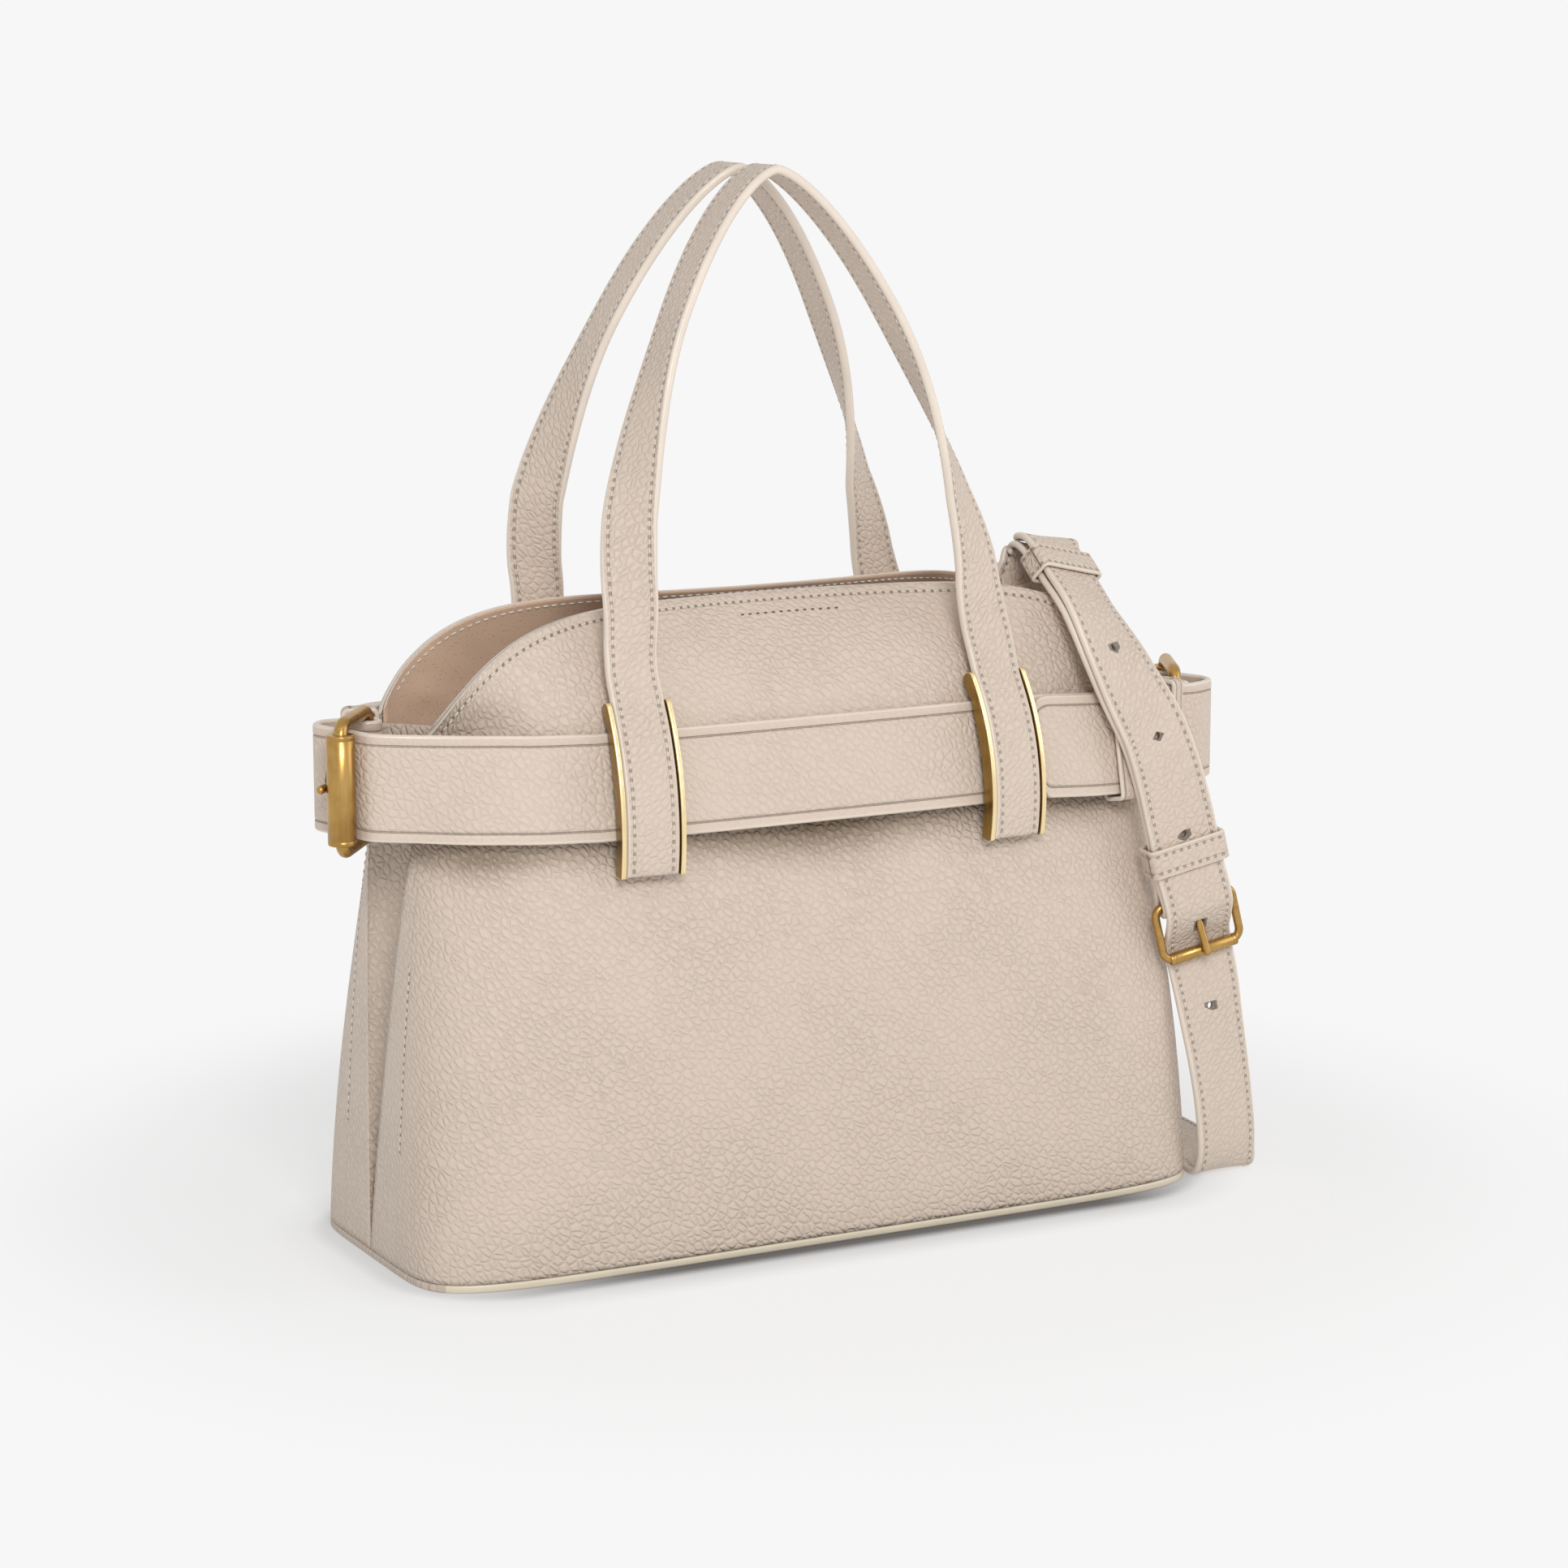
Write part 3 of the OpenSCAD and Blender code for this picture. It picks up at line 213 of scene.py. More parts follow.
def mesh_object(name, verts, faces, materials, attributes=None, face_materials=None):
    """Object at the origin from verts in millimetres and faces as index tuples or arrays of quads."""
    mesh = bpy.data.meshes.new(name)
    faces = faces.tolist() if isinstance(faces, np.ndarray) else faces
    mesh.from_pydata((np.asarray(verts) * MM).tolist(), [], faces)
    for key, values in (attributes or {}).items():
        layer = mesh.attributes.new(key, "FLOAT", "POINT")
        layer.data.foreach_set("value", np.asarray(values, np.float32))
    if face_materials is not None:
        mesh.polygons.foreach_set("material_index", np.asarray(face_materials, np.int32))
    mesh.polygons.foreach_set("use_smooth", np.ones(len(mesh.polygons), bool))
    for m in materials:
        mesh.materials.append(m)
    mesh.validate()
    mesh.update()
    obj = bpy.data.objects.new(name, mesh)
    bpy.context.scene.collection.objects.link(obj)
    return obj


def grid_faces(rows, cols, close_rows=False, close_cols=False, start=0):
    """Quads of a grid of rows by cols points, each row after the one before."""
    i = np.arange(rows if close_rows else rows - 1)[:, None]
    j = np.arange(cols if close_cols else cols - 1)[None, :]
    i2, j2 = (i + 1) % rows, (j + 1) % cols
    quads = np.stack(np.broadcast_arrays(i * cols + j, i * cols + j2, i2 * cols + j2, i2 * cols + j), -1)
    return quads.reshape(-1, 4) + start


def rod_faces(rows, cols):
    """Quads along a closed section, with a face at each end."""
    last = (rows - 1) * cols
    quads = grid_faces(rows, cols, close_cols=True).tolist()
    return quads + [list(range(cols))[::-1], list(range(last, last + cols))]


def flip(faces):
    return faces[:, ::-1]


def place(obj, body, slot, *nodes):
    """The object rides on the body and stands for the nodes, whose solids it hides. The slot is not used."""
    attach(obj, body)
    if nodes:
        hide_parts(*nodes)
    return obj


def finish_modifiers(obj):
    """The object's modifiers worked into its mesh."""
    graph = bpy.context.evaluated_depsgraph_get()
    mesh = bpy.data.meshes.new_from_object(obj.evaluated_get(graph))
    old = obj.data
    obj.modifiers.clear()
    obj.data = mesh
    mesh.name = obj.name
    bpy.data.meshes.remove(old)
    return obj


def cut(obj, cutters):
    """Takes the cutters out of the object and throws them away."""
    for tool in cutters:
        m = obj.modifiers.new("Cut", "BOOLEAN")
        m.operation, m.solver, m.object = "DIFFERENCE", "EXACT", tool
    finish_modifiers(obj)
    for tool in cutters:
        bpy.data.objects.remove(tool)
    return obj


def cylinder_cutter(start, end, radius):
    """Closed round rod from start to end."""
    start, end = np.asarray(start, float), np.asarray(end, float)
    d = unit(end - start)
    side = unit(np.cross(d, X if abs(d[0]) < 0.8 else Z))
    up = np.cross(d, side)
    a = np.linspace(0, 2 * np.pi, 24, endpoint=False)[:, None]
    ring = radius * (np.cos(a) * side + np.sin(a) * up)
    return mesh_object("cutter", np.concatenate([start + ring, end + ring]), rod_faces(2, 24), [])


def box_cutter(centre, ax, ay, az, size):
    """Closed box whose sides lie along three directions."""
    half = np.asarray(size, float) / 2
    signs = np.array([[x, y, z] for z in (-1, 1) for y in (-1, 1) for x in (-1, 1)], float)
    verts = np.asarray(centre, float) + (signs * half) @ np.stack([ax, ay, az])
    faces = [[0, 2, 3, 1], [4, 5, 7, 6], [0, 1, 5, 4], [2, 6, 7, 3], [0, 4, 6, 2], [1, 3, 7, 5]]
    return mesh_object("cutter", verts, faces, [])


# Straps and ribbons

def strap_section(half, thick, seam, groove, edge):
    """Closed section of a strap as across, through and seam distance, one ring per half width in half.

    Each side is an elliptical painted edge, edge millimetres across and thick tall. Each face is
    flat with a V groove of that depth on a line seam millimetres from the side.
    """
    half = np.atleast_1d(np.asarray(half, float))[:, None]
    a = np.linspace(-90, 90, 7) * np.pi / 180
    round_d, round_h = edge * (1 - np.cos(a)), thick / 2 * np.sin(a)
    flat_d = np.array([edge + 0.05, seam - 0.55, seam - 0.2, seam, seam + 0.2, seam + 0.55, seam + 1.6])
    flat_h = np.full(7, thick / 2)
    flat_h[3] -= groove
    flat_h[[2, 4]] -= 0.5 * groove
    inner = np.array([0.6, 0.3, 0.0, -0.3, -0.6])
    reach = half - flat_d[-1]
    right = np.concatenate([round_d, flat_d])
    right_h = np.concatenate([round_h, flat_h])
    across = np.concatenate([half - right, inner * reach, right[::-1] - half, flat_d - half,
                             -inner * reach, half - flat_d[::-1]], axis=1)
    top, far = np.full(5, thick / 2), np.full(5, 9.0)
    through = np.concatenate([right_h, top, right_h[::-1], -flat_h, -top, -flat_h[::-1]])
    off = np.concatenate([right, far, right[::-1], flat_d, far, flat_d[::-1]]) - seam
    return across, np.broadcast_to(through, across.shape), np.broadcast_to(off, across.shape)


class Ribbon:
    """A strap along a path: its middle line, width direction and face direction at each ring."""

    def __init__(self, centre, hints, width, thick, seam, groove, edge=1.0, closed=False):
        self.centre = centre
        self.along = headings(centre, closed)
        self.across = square_to(np.asarray(hints, float), self.along)
        self.out = np.cross(self.along, self.across)
        self.width = np.broadcast_to(np.asarray(width, float), len(centre))
        self.thick, self.seam, self.groove, self.edge, self.closed = thick, seam, groove, edge, closed
        self.s = lengths(centre)

    def build(self, name, materials):
        """Mesh of the strap. The material of the painted edges is the second one."""
        c, w, o = self.centre, self.across, self.out
        half, s, thick = self.width / 2, self.s, np.ones(len(c))
        if not self.closed:
            cap = np.array([0.35, 0.7, 0.92])
            near = self.edge * np.array([0, 0.28, 0.7])
            inside = (s > s[0] + self.edge) & (s < s[-1] - self.edge)
            ks = np.concatenate([s[0] + near, s[inside], s[-1] - near[::-1]])
            c, w, o = (resample(v, s, ks) for v in (c, w, o))
            half = np.interp(ks, s, half)
            thick = np.concatenate([cap, np.ones(inside.sum()), cap[::-1]])
            s = ks
        across, through, off = strap_section(half, self.thick, self.seam, self.groove, self.edge)
        through = through * thick[:, None]
        w, o = unit(w)[:, None, :], unit(o)[:, None, :]
        p = c[:, None, :] + across[..., None] * w + through[..., None] * o
        rows, cols = across.shape
        faces = grid_faces(rows, cols, close_rows=self.closed, close_cols=True)
        turn = np.sum(np.cross(self.along, self.across) * self.out, axis=1).mean()
        faces = flip(faces) if turn < 0 else faces
        j = np.arange(cols)
        on_edge = (j < 6) | ((j >= 26) & (j < 32))
        which = np.tile(on_edge.astype(int), rows if self.closed else rows - 1)
        faces = faces.tolist()
        if not self.closed:
            first, last = j.tolist(), (j + (rows - 1) * cols).tolist()
            faces += [first[::-1] if turn > 0 else first, last if turn > 0 else last[::-1]]
            which = np.concatenate([which, [1, 1]])
        along = np.repeat(s, cols) * MM
        shifted = across + UNDERSIDE * (j >= 29)
        attributes = {"Across": shifted.ravel() * MM, "Up": along, "Along": along, "Off": off.ravel() * MM}
        return outward(mesh_object(name, p.reshape(-1, 3), faces, materials, attributes, which))

    def row(self, side, face, start=None, stop=None):
        """Line of stitches: side -1 or 1 is the edge that it follows, face -1 or 1 the face."""
        p = self.centre + self.across * (side * (self.width / 2 - self.seam))[:, None]
        p = p + face * self.out * (self.thick / 2 - 0.12)
        return p, face * self.out, start, stop, self.s

    def rows(self):
        """Lines of stitches beside both edges of both faces."""
        return [self.row(side, face) for side in (-1, 1) for face in (-1, 1)]


def stitch_mesh(name, rows, pitch, thread, material, fill=0.78, skip=6.0):
    """Stitches along rows of points. Each is a thread of six sides that rises as a low arch from
    one needle hole and dips into the next: its height falls with the square of the distance
    from its middle. The holes lie at whole pitches of the row's own length, which a row may
    give as its last item."""
    t = np.array([-1.0, -0.72, 0.0, 0.72, 1.0])
    lift = thread * 0.34 * (1 - 2.3 * t**2)
    size = thread / 2 * np.array([0.45, 0.9, 1.0, 0.9, 0.45])
    a = np.linspace(0, 2 * np.pi, 6, endpoint=False)
    verts, faces, count = [], [], 0
    base = grid_faces(5, 6, close_cols=True)
    for p, n, start, stop, *along in rows:
        s = along[0] if along else lengths(p)
        lo = skip if start is None else start
        hi = s[-1] - skip if stop is None else stop
        mid = (np.arange(np.ceil(lo / pitch), np.floor(hi / pitch)) + 0.5) * pitch
        if not len(mid):
            continue
        here, normal = resample(p, s, mid), unit(resample(n, s, mid))
        ahead, behind = resample(p, s, mid + pitch / 2), resample(p, s, mid - pitch / 2)
        d = unit(ahead - behind)
        side = unit(np.cross(d, normal))
        normal = np.cross(side, d)
        ax = here[:, None, :] + d[:, None, :] * (t * pitch * fill / 2)[None, :, None]
        ax = ax + normal[:, None, :] * lift[None, :, None]
        ring = (np.cos(a)[None, None, :, None] * side[:, None, None, :]
                + np.sin(a)[None, None, :, None] * normal[:, None, None, :] * 0.8)
        v = ax[:, :, None, :] + size[None, :, None, None] * ring
        verts.append(v.reshape(-1, 3))
        f = base[None] + (np.arange(len(mid)) * 30)[:, None, None] + count
        faces += f.reshape(-1, 4).tolist()
        starts = (np.arange(len(mid)) * 30 + count)[:, None]
        faces += (starts + np.arange(6)[::-1]).tolist() + (starts + 24 + np.arange(6)).tolist()
        count += len(mid) * 30
    return outward(mesh_object(name, np.concatenate(verts), faces, [material]))


def signed_volume(mesh):
    """Six times the volume inside the mesh, negative where its faces point inwards."""
    co = np.zeros(len(mesh.vertices) * 3)
    mesh.vertices.foreach_get("co", co)
    co = co.reshape(-1, 3)
    mesh.calc_loop_triangles()
    tri = np.zeros(len(mesh.loop_triangles) * 3, np.int32)
    mesh.loop_triangles.foreach_get("vertices", tri)
    a, b, c = (co[tri.reshape(-1, 3)[:, k]] for k in range(3))
    return float(np.sum(a * np.cross(b, c)))


def outward(obj):
    """Turns a closed mesh's faces outwards."""
    if signed_volume(obj.data) < 0:
        obj.data.flip_normals()
    return obj


def ring_tube(name, centre, radius, material, hint):
    """Round rod bent to a closed loop, with a radius for each point."""
    sides = 24
    along = headings(centre, True)
    side = square_to(np.broadcast_to(hint, centre.shape), along)
    up = np.cross(along, side)
    a = np.linspace(0, 2 * np.pi, sides, endpoint=False)
    ring = np.cos(a)[None, :, None] * side[:, None, :] + np.sin(a)[None, :, None] * up[:, None, :]
    p = centre[:, None, :] + radius[:, None, None] * ring
    faces = grid_faces(len(centre), sides, close_rows=True, close_cols=True)
    return outward(mesh_object(name, p.reshape(-1, 3), faces, [material]))


def turned(name, profile, origin, axis, material):
    """Closed profile of (distance along the axis, radius) pairs turned round the axis."""
    sides = 64
    profile = np.asarray(profile, float)
    side = unit(np.cross(axis, X if abs(axis[0]) < 0.8 else Y))
    up = np.cross(axis, side)
    a = np.linspace(0, 2 * np.pi, sides, endpoint=False)
    ring = np.cos(a)[:, None, None] * side + np.sin(a)[:, None, None] * up
    p = origin + profile[None, :, :1] * axis + profile[None, :, 1:] * ring
    faces = grid_faces(sides, len(profile), close_rows=True, close_cols=True)
    return outward(mesh_object(name, p.reshape(-1, 3), faces, [material]))


# The body

class Body:
    """Surfaces of the bag's body in millimetres, from the sizes in the sidebar."""

    def __init__(self, p):
        k = 1 / MM
        self.base_w, self.base_d = p.base_width * k, p.base_depth * k
        self.waist_w, self.waist_d = p.waist_width * k, p.waist_depth * k
        self.belt_z, self.rim_z, self.mouth_z = p.belt_height * k, p.rim_height * k, p.mouth_height * k
        self.arch_half, self.leather, self.lining = p.arch_half * k, p.leather * k, p.lining * k
        self.dent, self.crumple = p.dent * k, p.crumple * k
        self.base_t, self.board_t = 3.0, 2.0
        self.flank_z = self.mouth_z - 2
        self.gusset_half, self.gusset_fold, self.gusset_z0 = 25.0, 18.0, 24.0
        self.foot_z = self.base_t + SEAT
        self.side_row_y, self.side_row_z0 = 24.5, 43.0

    def climb(self, z):
        """Height as a share of the belt's, and one above it."""
        return np.minimum(z, self.belt_z) / self.belt_z

    def half_width(self, z):
        """Half of the plan's width at a height: it narrows from the base to the belt."""
        return self.base_w / 2 - (self.base_w - self.waist_w) / 2 * self.climb(z) ** 1.2

    def half_depth(self, z):
        """Half of the plan's depth at a height."""
        return self.base_d / 2 - (self.base_d - self.waist_d) / 2 * self.climb(z) ** 2

    def power(self, z):
        """Exponent of the plan's superellipse at a height."""
        return BASE_POWER + (BELT_POWER - BASE_POWER) * smooth(self.climb(z))

    def ridge(self, z):
        """Depth of the ridge where a panel meets its gusset: it opens from the base to the mouth."""
        return SEAT / 2 + (self.gusset_half - SEAT / 2) * np.clip(z / self.mouth_z, 0, 1) ** 1.2

    def side_row(self, v):
        """Length from a panel's side edge to its row of stitches, which runs straight down the end."""
        z = self.foot_z + np.minimum(v, 1) * (self.belt_z - self.foot_z)
        return np.maximum(self.side_row_y - self.ridge(z), 4.5)

    def plan(self, q, z, inset):
        """Plan of the front panel at the heights z, for q from -1 to 1 by length round the panel.

        Superellipse |x/a|^n + |y/b|^n = 1 whose a, b and n change with height, walked at even
        steps of its length from the middle to the ridge.
        """
        z = np.atleast_1d(z)[:, None]
        a, b, n = self.half_width(z) - inset, self.half_depth(z) - inset, self.power(z)
        top = np.arccos((self.ridge(z) / b) ** (n / 2))
        phi = top * np.linspace(0, 1, 500)[None, :] ** (n / 2)
        x, y = a * np.sin(phi) ** (2 / n), -b * np.cos(phi) ** (2 / n)
        s = np.cumsum(np.hypot(np.diff(x, axis=1, prepend=0), np.diff(y, axis=1, prepend=y[:, :1])), axis=1)
        want = np.abs(q)
        px, py = (
            np.stack([np.interp(want * row[-1], row, c) for row, c in zip(s, part)]) for part in (x, y)
        )
        return np.sign(q) * px, py

    def rim_height(self, x):
        """Height of the arched rim: flat in the middle and steep at its ends."""
        share = np.minimum(np.abs(x), self.arch_half) / self.arch_half
        return self.rim_z - (self.rim_z - self.mouth_z) * share**6

    def rim_pull(self, x):
        """How much of its depth the panel loses towards the rim: most in the middle."""
        return 0.8 * np.maximum(0, 1 - (np.abs(x) / self.arch_half) ** 2)

    def waist_y(self, x):
        """Depth of the plan at the belt."""
        a = self.waist_w / 2
        return self.waist_d / 2 * (1 - (np.minimum(np.abs(x), a - 1) / a) ** BELT_POWER) ** (1 / BELT_POWER)

    def soft(self, x, z, front):
        """How far the leather gives way towards the inside, as a field over the panel.

        The belt presses a long dent under its lower edge, the leather sags between the seams in
        low waves, and short wrinkles gather at the corners above the belt.
        """
        low_edge = self.belt_z - 21
        below = bump(z, low_edge - 1, 8 + 7 * bump(x, 4, 60))
        under = self.dent * below * (0.45 + 0.55 * bump(x, 4, 70)) * step(140 - np.abs(x), 0, 40)
        under = under * (1 if front else 0.7)
        waves = 0.45 * np.sin(x / 31 + 0.6) * np.sin(z / 38 + 0.4) + 0.3 * np.sin(x / 17 - z / 29)
        waves = waves * bump(z, 95, 70) * step(150 - np.abs(x), 0, 40)
        corner = step(np.abs(x), 96, 138) * bump(z, self.belt_z + 24, 12)
        lines = np.sin((z - 0.35 * np.abs(x)) / 2.4) + 0.6 * np.sin((z + 0.5 * np.abs(x)) / 3.7 + 1)
        return under + waves + self.crumple * 0.5 * corner * lines

    def press_and_shade(self, x, z, front):
        """Where the belt presses the leather into fine folds, with a painted shade under the belt's lower
        edge and in the wrinkles above its corners: 1 at its lower edge, fading downwards.
        """
        low_edge = self.belt_z - 24
        reach = 3.2 + 4.5 * bump(x, -4, 46) + 3 * bump(x, 112, 26) + 2.5 * bump(x, -132, 18)
        fade = np.exp(-((np.maximum(0, low_edge - z) / reach) ** 1.5)) * step(z, low_edge + 16, low_edge + 8)
        near = 0.45 + 0.55 * bump(x, -4, 46) + 0.4 * bump(x, 112, 26) + 0.35 * bump(x, -132, 18)
        corner = 0.5 * bump(z, self.belt_z + 24, 9) * step(np.abs(x), 104, 134)
        return np.clip(fade * near + corner, 0, 1) * (1 if front else 0.8)

    def panel(self, q, v, inset, front, z0=None):
        """Front panel: q from -1 to 1 across it, v 0 at the base, 1 at the belt and 2 at the rim.

        Below the belt each row is a plan. Above it each point of the belt's plan climbs a
        Hermite curve that leans in towards the arched rim.
        """
        z0 = self.foot_z if z0 is None else z0
        v = np.asarray(v, float)
        low = z0 + np.minimum(v, 1) * (self.belt_z - z0)
        x, y = self.plan(q, low, inset)
        s = np.clip(v - 1, 0, 1)[:, None]
        top = np.maximum(self.flank_z, self.rim_height(x))
        rise = top - self.belt_z
        pull = self.rim_pull(x)
        y1 = -y * (1 - pull) - inset * pull
        upper = hermite(s, -y, y1, -0.18 * rise * (y1 < -y), -1.7 * (-y - y1))
        y = np.where(v[:, None] > 1, -upper, y)
        z = np.where(v[:, None] > 1, self.belt_z + s * rise, low[:, None])
        keep = step(z, z0, z0 + 25)
        y = y + self.soft(x, z, front) * keep * step(150 - np.abs(x), 0, 30)
        return np.stack([x, y, z], axis=-1)

    def gusset(self, u, z, inset):
        """Left gusset: u from -1 at its back edge to 1 at its front edge.

        It rolls in from the back edge, deepest near the front edge, and deepens with height.
        """
        z = np.asarray(z, float)[:, None]
        low = np.minimum(z, self.belt_z)
        half = self.ridge(low) + 0.1
        share = np.clip(z / self.mouth_z, 0, 1) ** 1.5
        n = self.power(z)
        side = (1 - (self.ridge(low) / self.half_depth(z)) ** n) ** (1 / n)
        side = self.half_width(z) * side - self.leather
        deep = 0.42 * np.clip(z / 60, 0, 1)
        t = np.where(u > deep, (u - deep) / (1 - deep), (deep - u) / (1 + deep))
        fold = self.gusset_fold * share * np.maximum(0, 1 - t**2) ** np.where(u > deep, 0.8, 1.25)
        flush = (self.leather - 0.15) * smooth(np.clip((-0.55 - u) / 0.45, 0, 1)) * (inset == 0)
        x = -(side - fold - inset + flush) + 0 * u
        return np.stack([x, -u * half * (1 - inset * 0.02), z + 0 * u], axis=-1)


def half_turn(p):
    """The same points turned half a turn round the upright axis."""
    return p * np.array([-1, -1, 1])


def facing(first, *grids):
    """The grids as they are for the front or the left, turned half a turn for the other side."""
    return [g if first else half_turn(g) for g in grids]


def normals(p):
    """Unit normal of a grid of points at each point."""
    return unit(np.cross(np.gradient(p, axis=1), np.gradient(p, axis=0)))


def skin_lengths(p):
    """Lengths along the leather in metres: across from the middle column and up from the first row."""
    across = lengths(p, 1)
    middle = across[:, p.shape[1] // 2, None]
    return {"Across": (across - middle) * MM, "Up": lengths(p, 0) * MM}


def sheet_shell(name, outer, inner, materials, attributes=None):
    """Closed wall between two grids of points, with the four sides closed by quads.

    The last row's side shows the second material.
    """
    rows, cols = outer.shape[:2]
    n = rows * cols
    front = grid_faces(rows, cols)
    back = flip(grid_faces(rows, cols, start=n))
    i, j = np.arange(rows), np.arange(cols)
    rings = [j, j + (rows - 1) * cols, i * cols, i * cols + cols - 1]
    sides, which = [], [np.zeros(len(front) * 2, int)]
    for k, ring in enumerate(rings):
        quads = np.stack([ring[:-1], ring[1:], ring[1:] + n, ring[:-1] + n], -1)
        sides.append(quads if k in (1, 2) else flip(quads))
        which.append(np.full(len(quads), int(k == 1)))
    faces = np.concatenate([front, back] + sides)
    verts = np.concatenate([outer.reshape(-1, 3), inner.reshape(-1, 3)])
    attributes = dict(attributes or {}, **skin_lengths(outer))
    attributes = {k: np.concatenate([a.ravel(), a.ravel()]) for k, a in attributes.items()}
    return outward(mesh_object(name, verts, faces, materials, attributes, np.concatenate(which)))


def seam_fields(p, rim_inset, side_inset, shown):
    """Distance to the nearest line of stitches of a panel and the length along that line.

    The lines run beside the rim and beside the two sides, at their insets. The side lines are
    seen between the two heights in shown: elsewhere their distance is stretched, so that no
    needle hole is left.
    """
    from_rim, left = lengths(p[::-1], 0)[::-1], lengths(p, 1)
    from_side = np.minimum(left, left[:, -1:] - left)
    d_rim, d_side = from_rim - rim_inset, from_side - side_inset
    use_rim = np.abs(d_rim) < np.abs(d_side)
    hidden = (p[..., 2] < shown[0]) | (p[..., 2] > shown[1])
    off = np.where(use_rim, d_rim, d_side * (1 + 60 * hidden))
    along = np.where(use_rim, lengths(p[-1])[None, :], p[..., 2])
    return {"Off": off * MM, "Along": along * MM}, from_rim, from_side


def line_across(p, n, field, value):
    """Point and normal in each row of a grid where a field that grows along the row has a value."""
    value = np.broadcast_to(value, len(p))
    points, directions = (
        np.array([[np.interp(v, d, row[:, k]) for k in range(3)] for v, d, row in zip(value, field, grid)])
        for grid in (p, n)
    )
    return points, unit(directions)


def line_on(p, n, field, value, keep):
    """The same down the kept columns, for a field that falls as the rows climb."""
    return line_across(*(g[::-1][:, keep].swapaxes(0, 1) for g in (p, n, field)), value)


def side_line(p, n, from_side, value, side):
    """Line down a panel at each row's length from its left (side 0) or right (side 1) edge."""
    half = p.shape[1] // 2
    cols = slice(0, half) if side == 0 else slice(p.shape[1] - 1, half, -1)
    return line_across(p[:, cols], n[:, cols], from_side[:, cols], value)


# Finishes

class Tree:
    """Small helper that adds and joins shader nodes."""

    def __init__(self, tree):
        self.tree = tree

    def give(self, inputs, values):
        """Links or sets the inputs by name or number."""
        for key, value in values.items():
            if isinstance(value, bpy.types.NodeSocket):
                self.tree.links.new(value, inputs[key])
            else:
                inputs[key].default_value = value

    def add(self, kind, values=None, **settings):
        n = self.tree.nodes.new(kind)
        for key, value in settings.items():
            setattr(n, key, value)
        self.give(n.inputs, values or {})
        return n

    def math(self, operation, a, b=0.0, c=0.0, clamp=False):
        return self.add("ShaderNodeMath", {0: a, 1: b, 2: c}, operation=operation, use_clamp=clamp).outputs[0]

    def mul(self, a, b, clamp=False):
        return self.math("MULTIPLY", a, b, clamp=clamp)

    def plus(self, a, b):
        return self.math("ADD", a, b)

    def less(self, a, b):
        return self.math("SUBTRACT", a, b)

    def vector(self, operation, *values):
        """Vector node: a length or a distance comes out as a number, the rest as a vector."""
        n = self.add("ShaderNodeVectorMath", dict(enumerate(values)), operation=operation)
        return n.outputs["Value" if operation in ("LENGTH", "DISTANCE") else "Vector"]

    def group(self, tree, values):
        """Outputs of a node group whose inputs are linked or set by name."""
        return self.add("ShaderNodeGroup", values, node_tree=tree).outputs

    def attribute(self, name):
        return self.add("ShaderNodeAttribute", attribute_name=name).outputs["Fac"]

    def ramp(self, value, a, b, low=0.0, high=1.0):
        values = {"Value": value, "From Min": a, "From Max": b, "To Min": low, "To Max": high}
        return self.add("ShaderNodeMapRange", values, interpolation_type="SMOOTHSTEP").outputs["Result"]

    def blend(self, factor, a, b):
        return self.add("ShaderNodeMix", {0: factor, 6: a, 7: b}, data_type="RGBA").outputs[2]

    def noise(self, vector, scale, detail=2.0, rough=0.5):
        values = {"Vector": vector, "Scale": scale, "Detail": detail, "Roughness": rough}
        return self.add("ShaderNodeTexNoise", values).outputs["Fac"]

    def where(self, scale=None):
        """Place on the object, which a scale stretches."""
        out = self.add("ShaderNodeTexCoord").outputs["Object"]
        if scale is None:
            return out
        return self.add("ShaderNodeMapping", {"Vector": out, "Scale": scale}).outputs["Vector"]


def rgba(c, k=1.0):
    return (c[0] * k, c[1] * k, c[2] * k, 1.0)


def tinted(c, tint):
    """The colour with each part multiplied by the tint's, at most one."""
    return rgba([min(1, a * b) for a, b in zip(c, tint)])


def new_group(name, inputs, outputs):
    group = bpy.data.node_groups.new(name, "ShaderNodeTree")
    for key, kind, value in inputs:
        socket = group.interface.new_socket(key, in_out="INPUT", socket_type=kind)
        if value is not None:
            socket.default_value = value
    for key, kind in outputs:
        group.interface.new_socket(key, in_out="OUTPUT", socket_type=kind)
    tree = Tree(group)
    return group, tree, tree.add("NodeGroupInput").outputs, tree.add("NodeGroupOutput").inputs


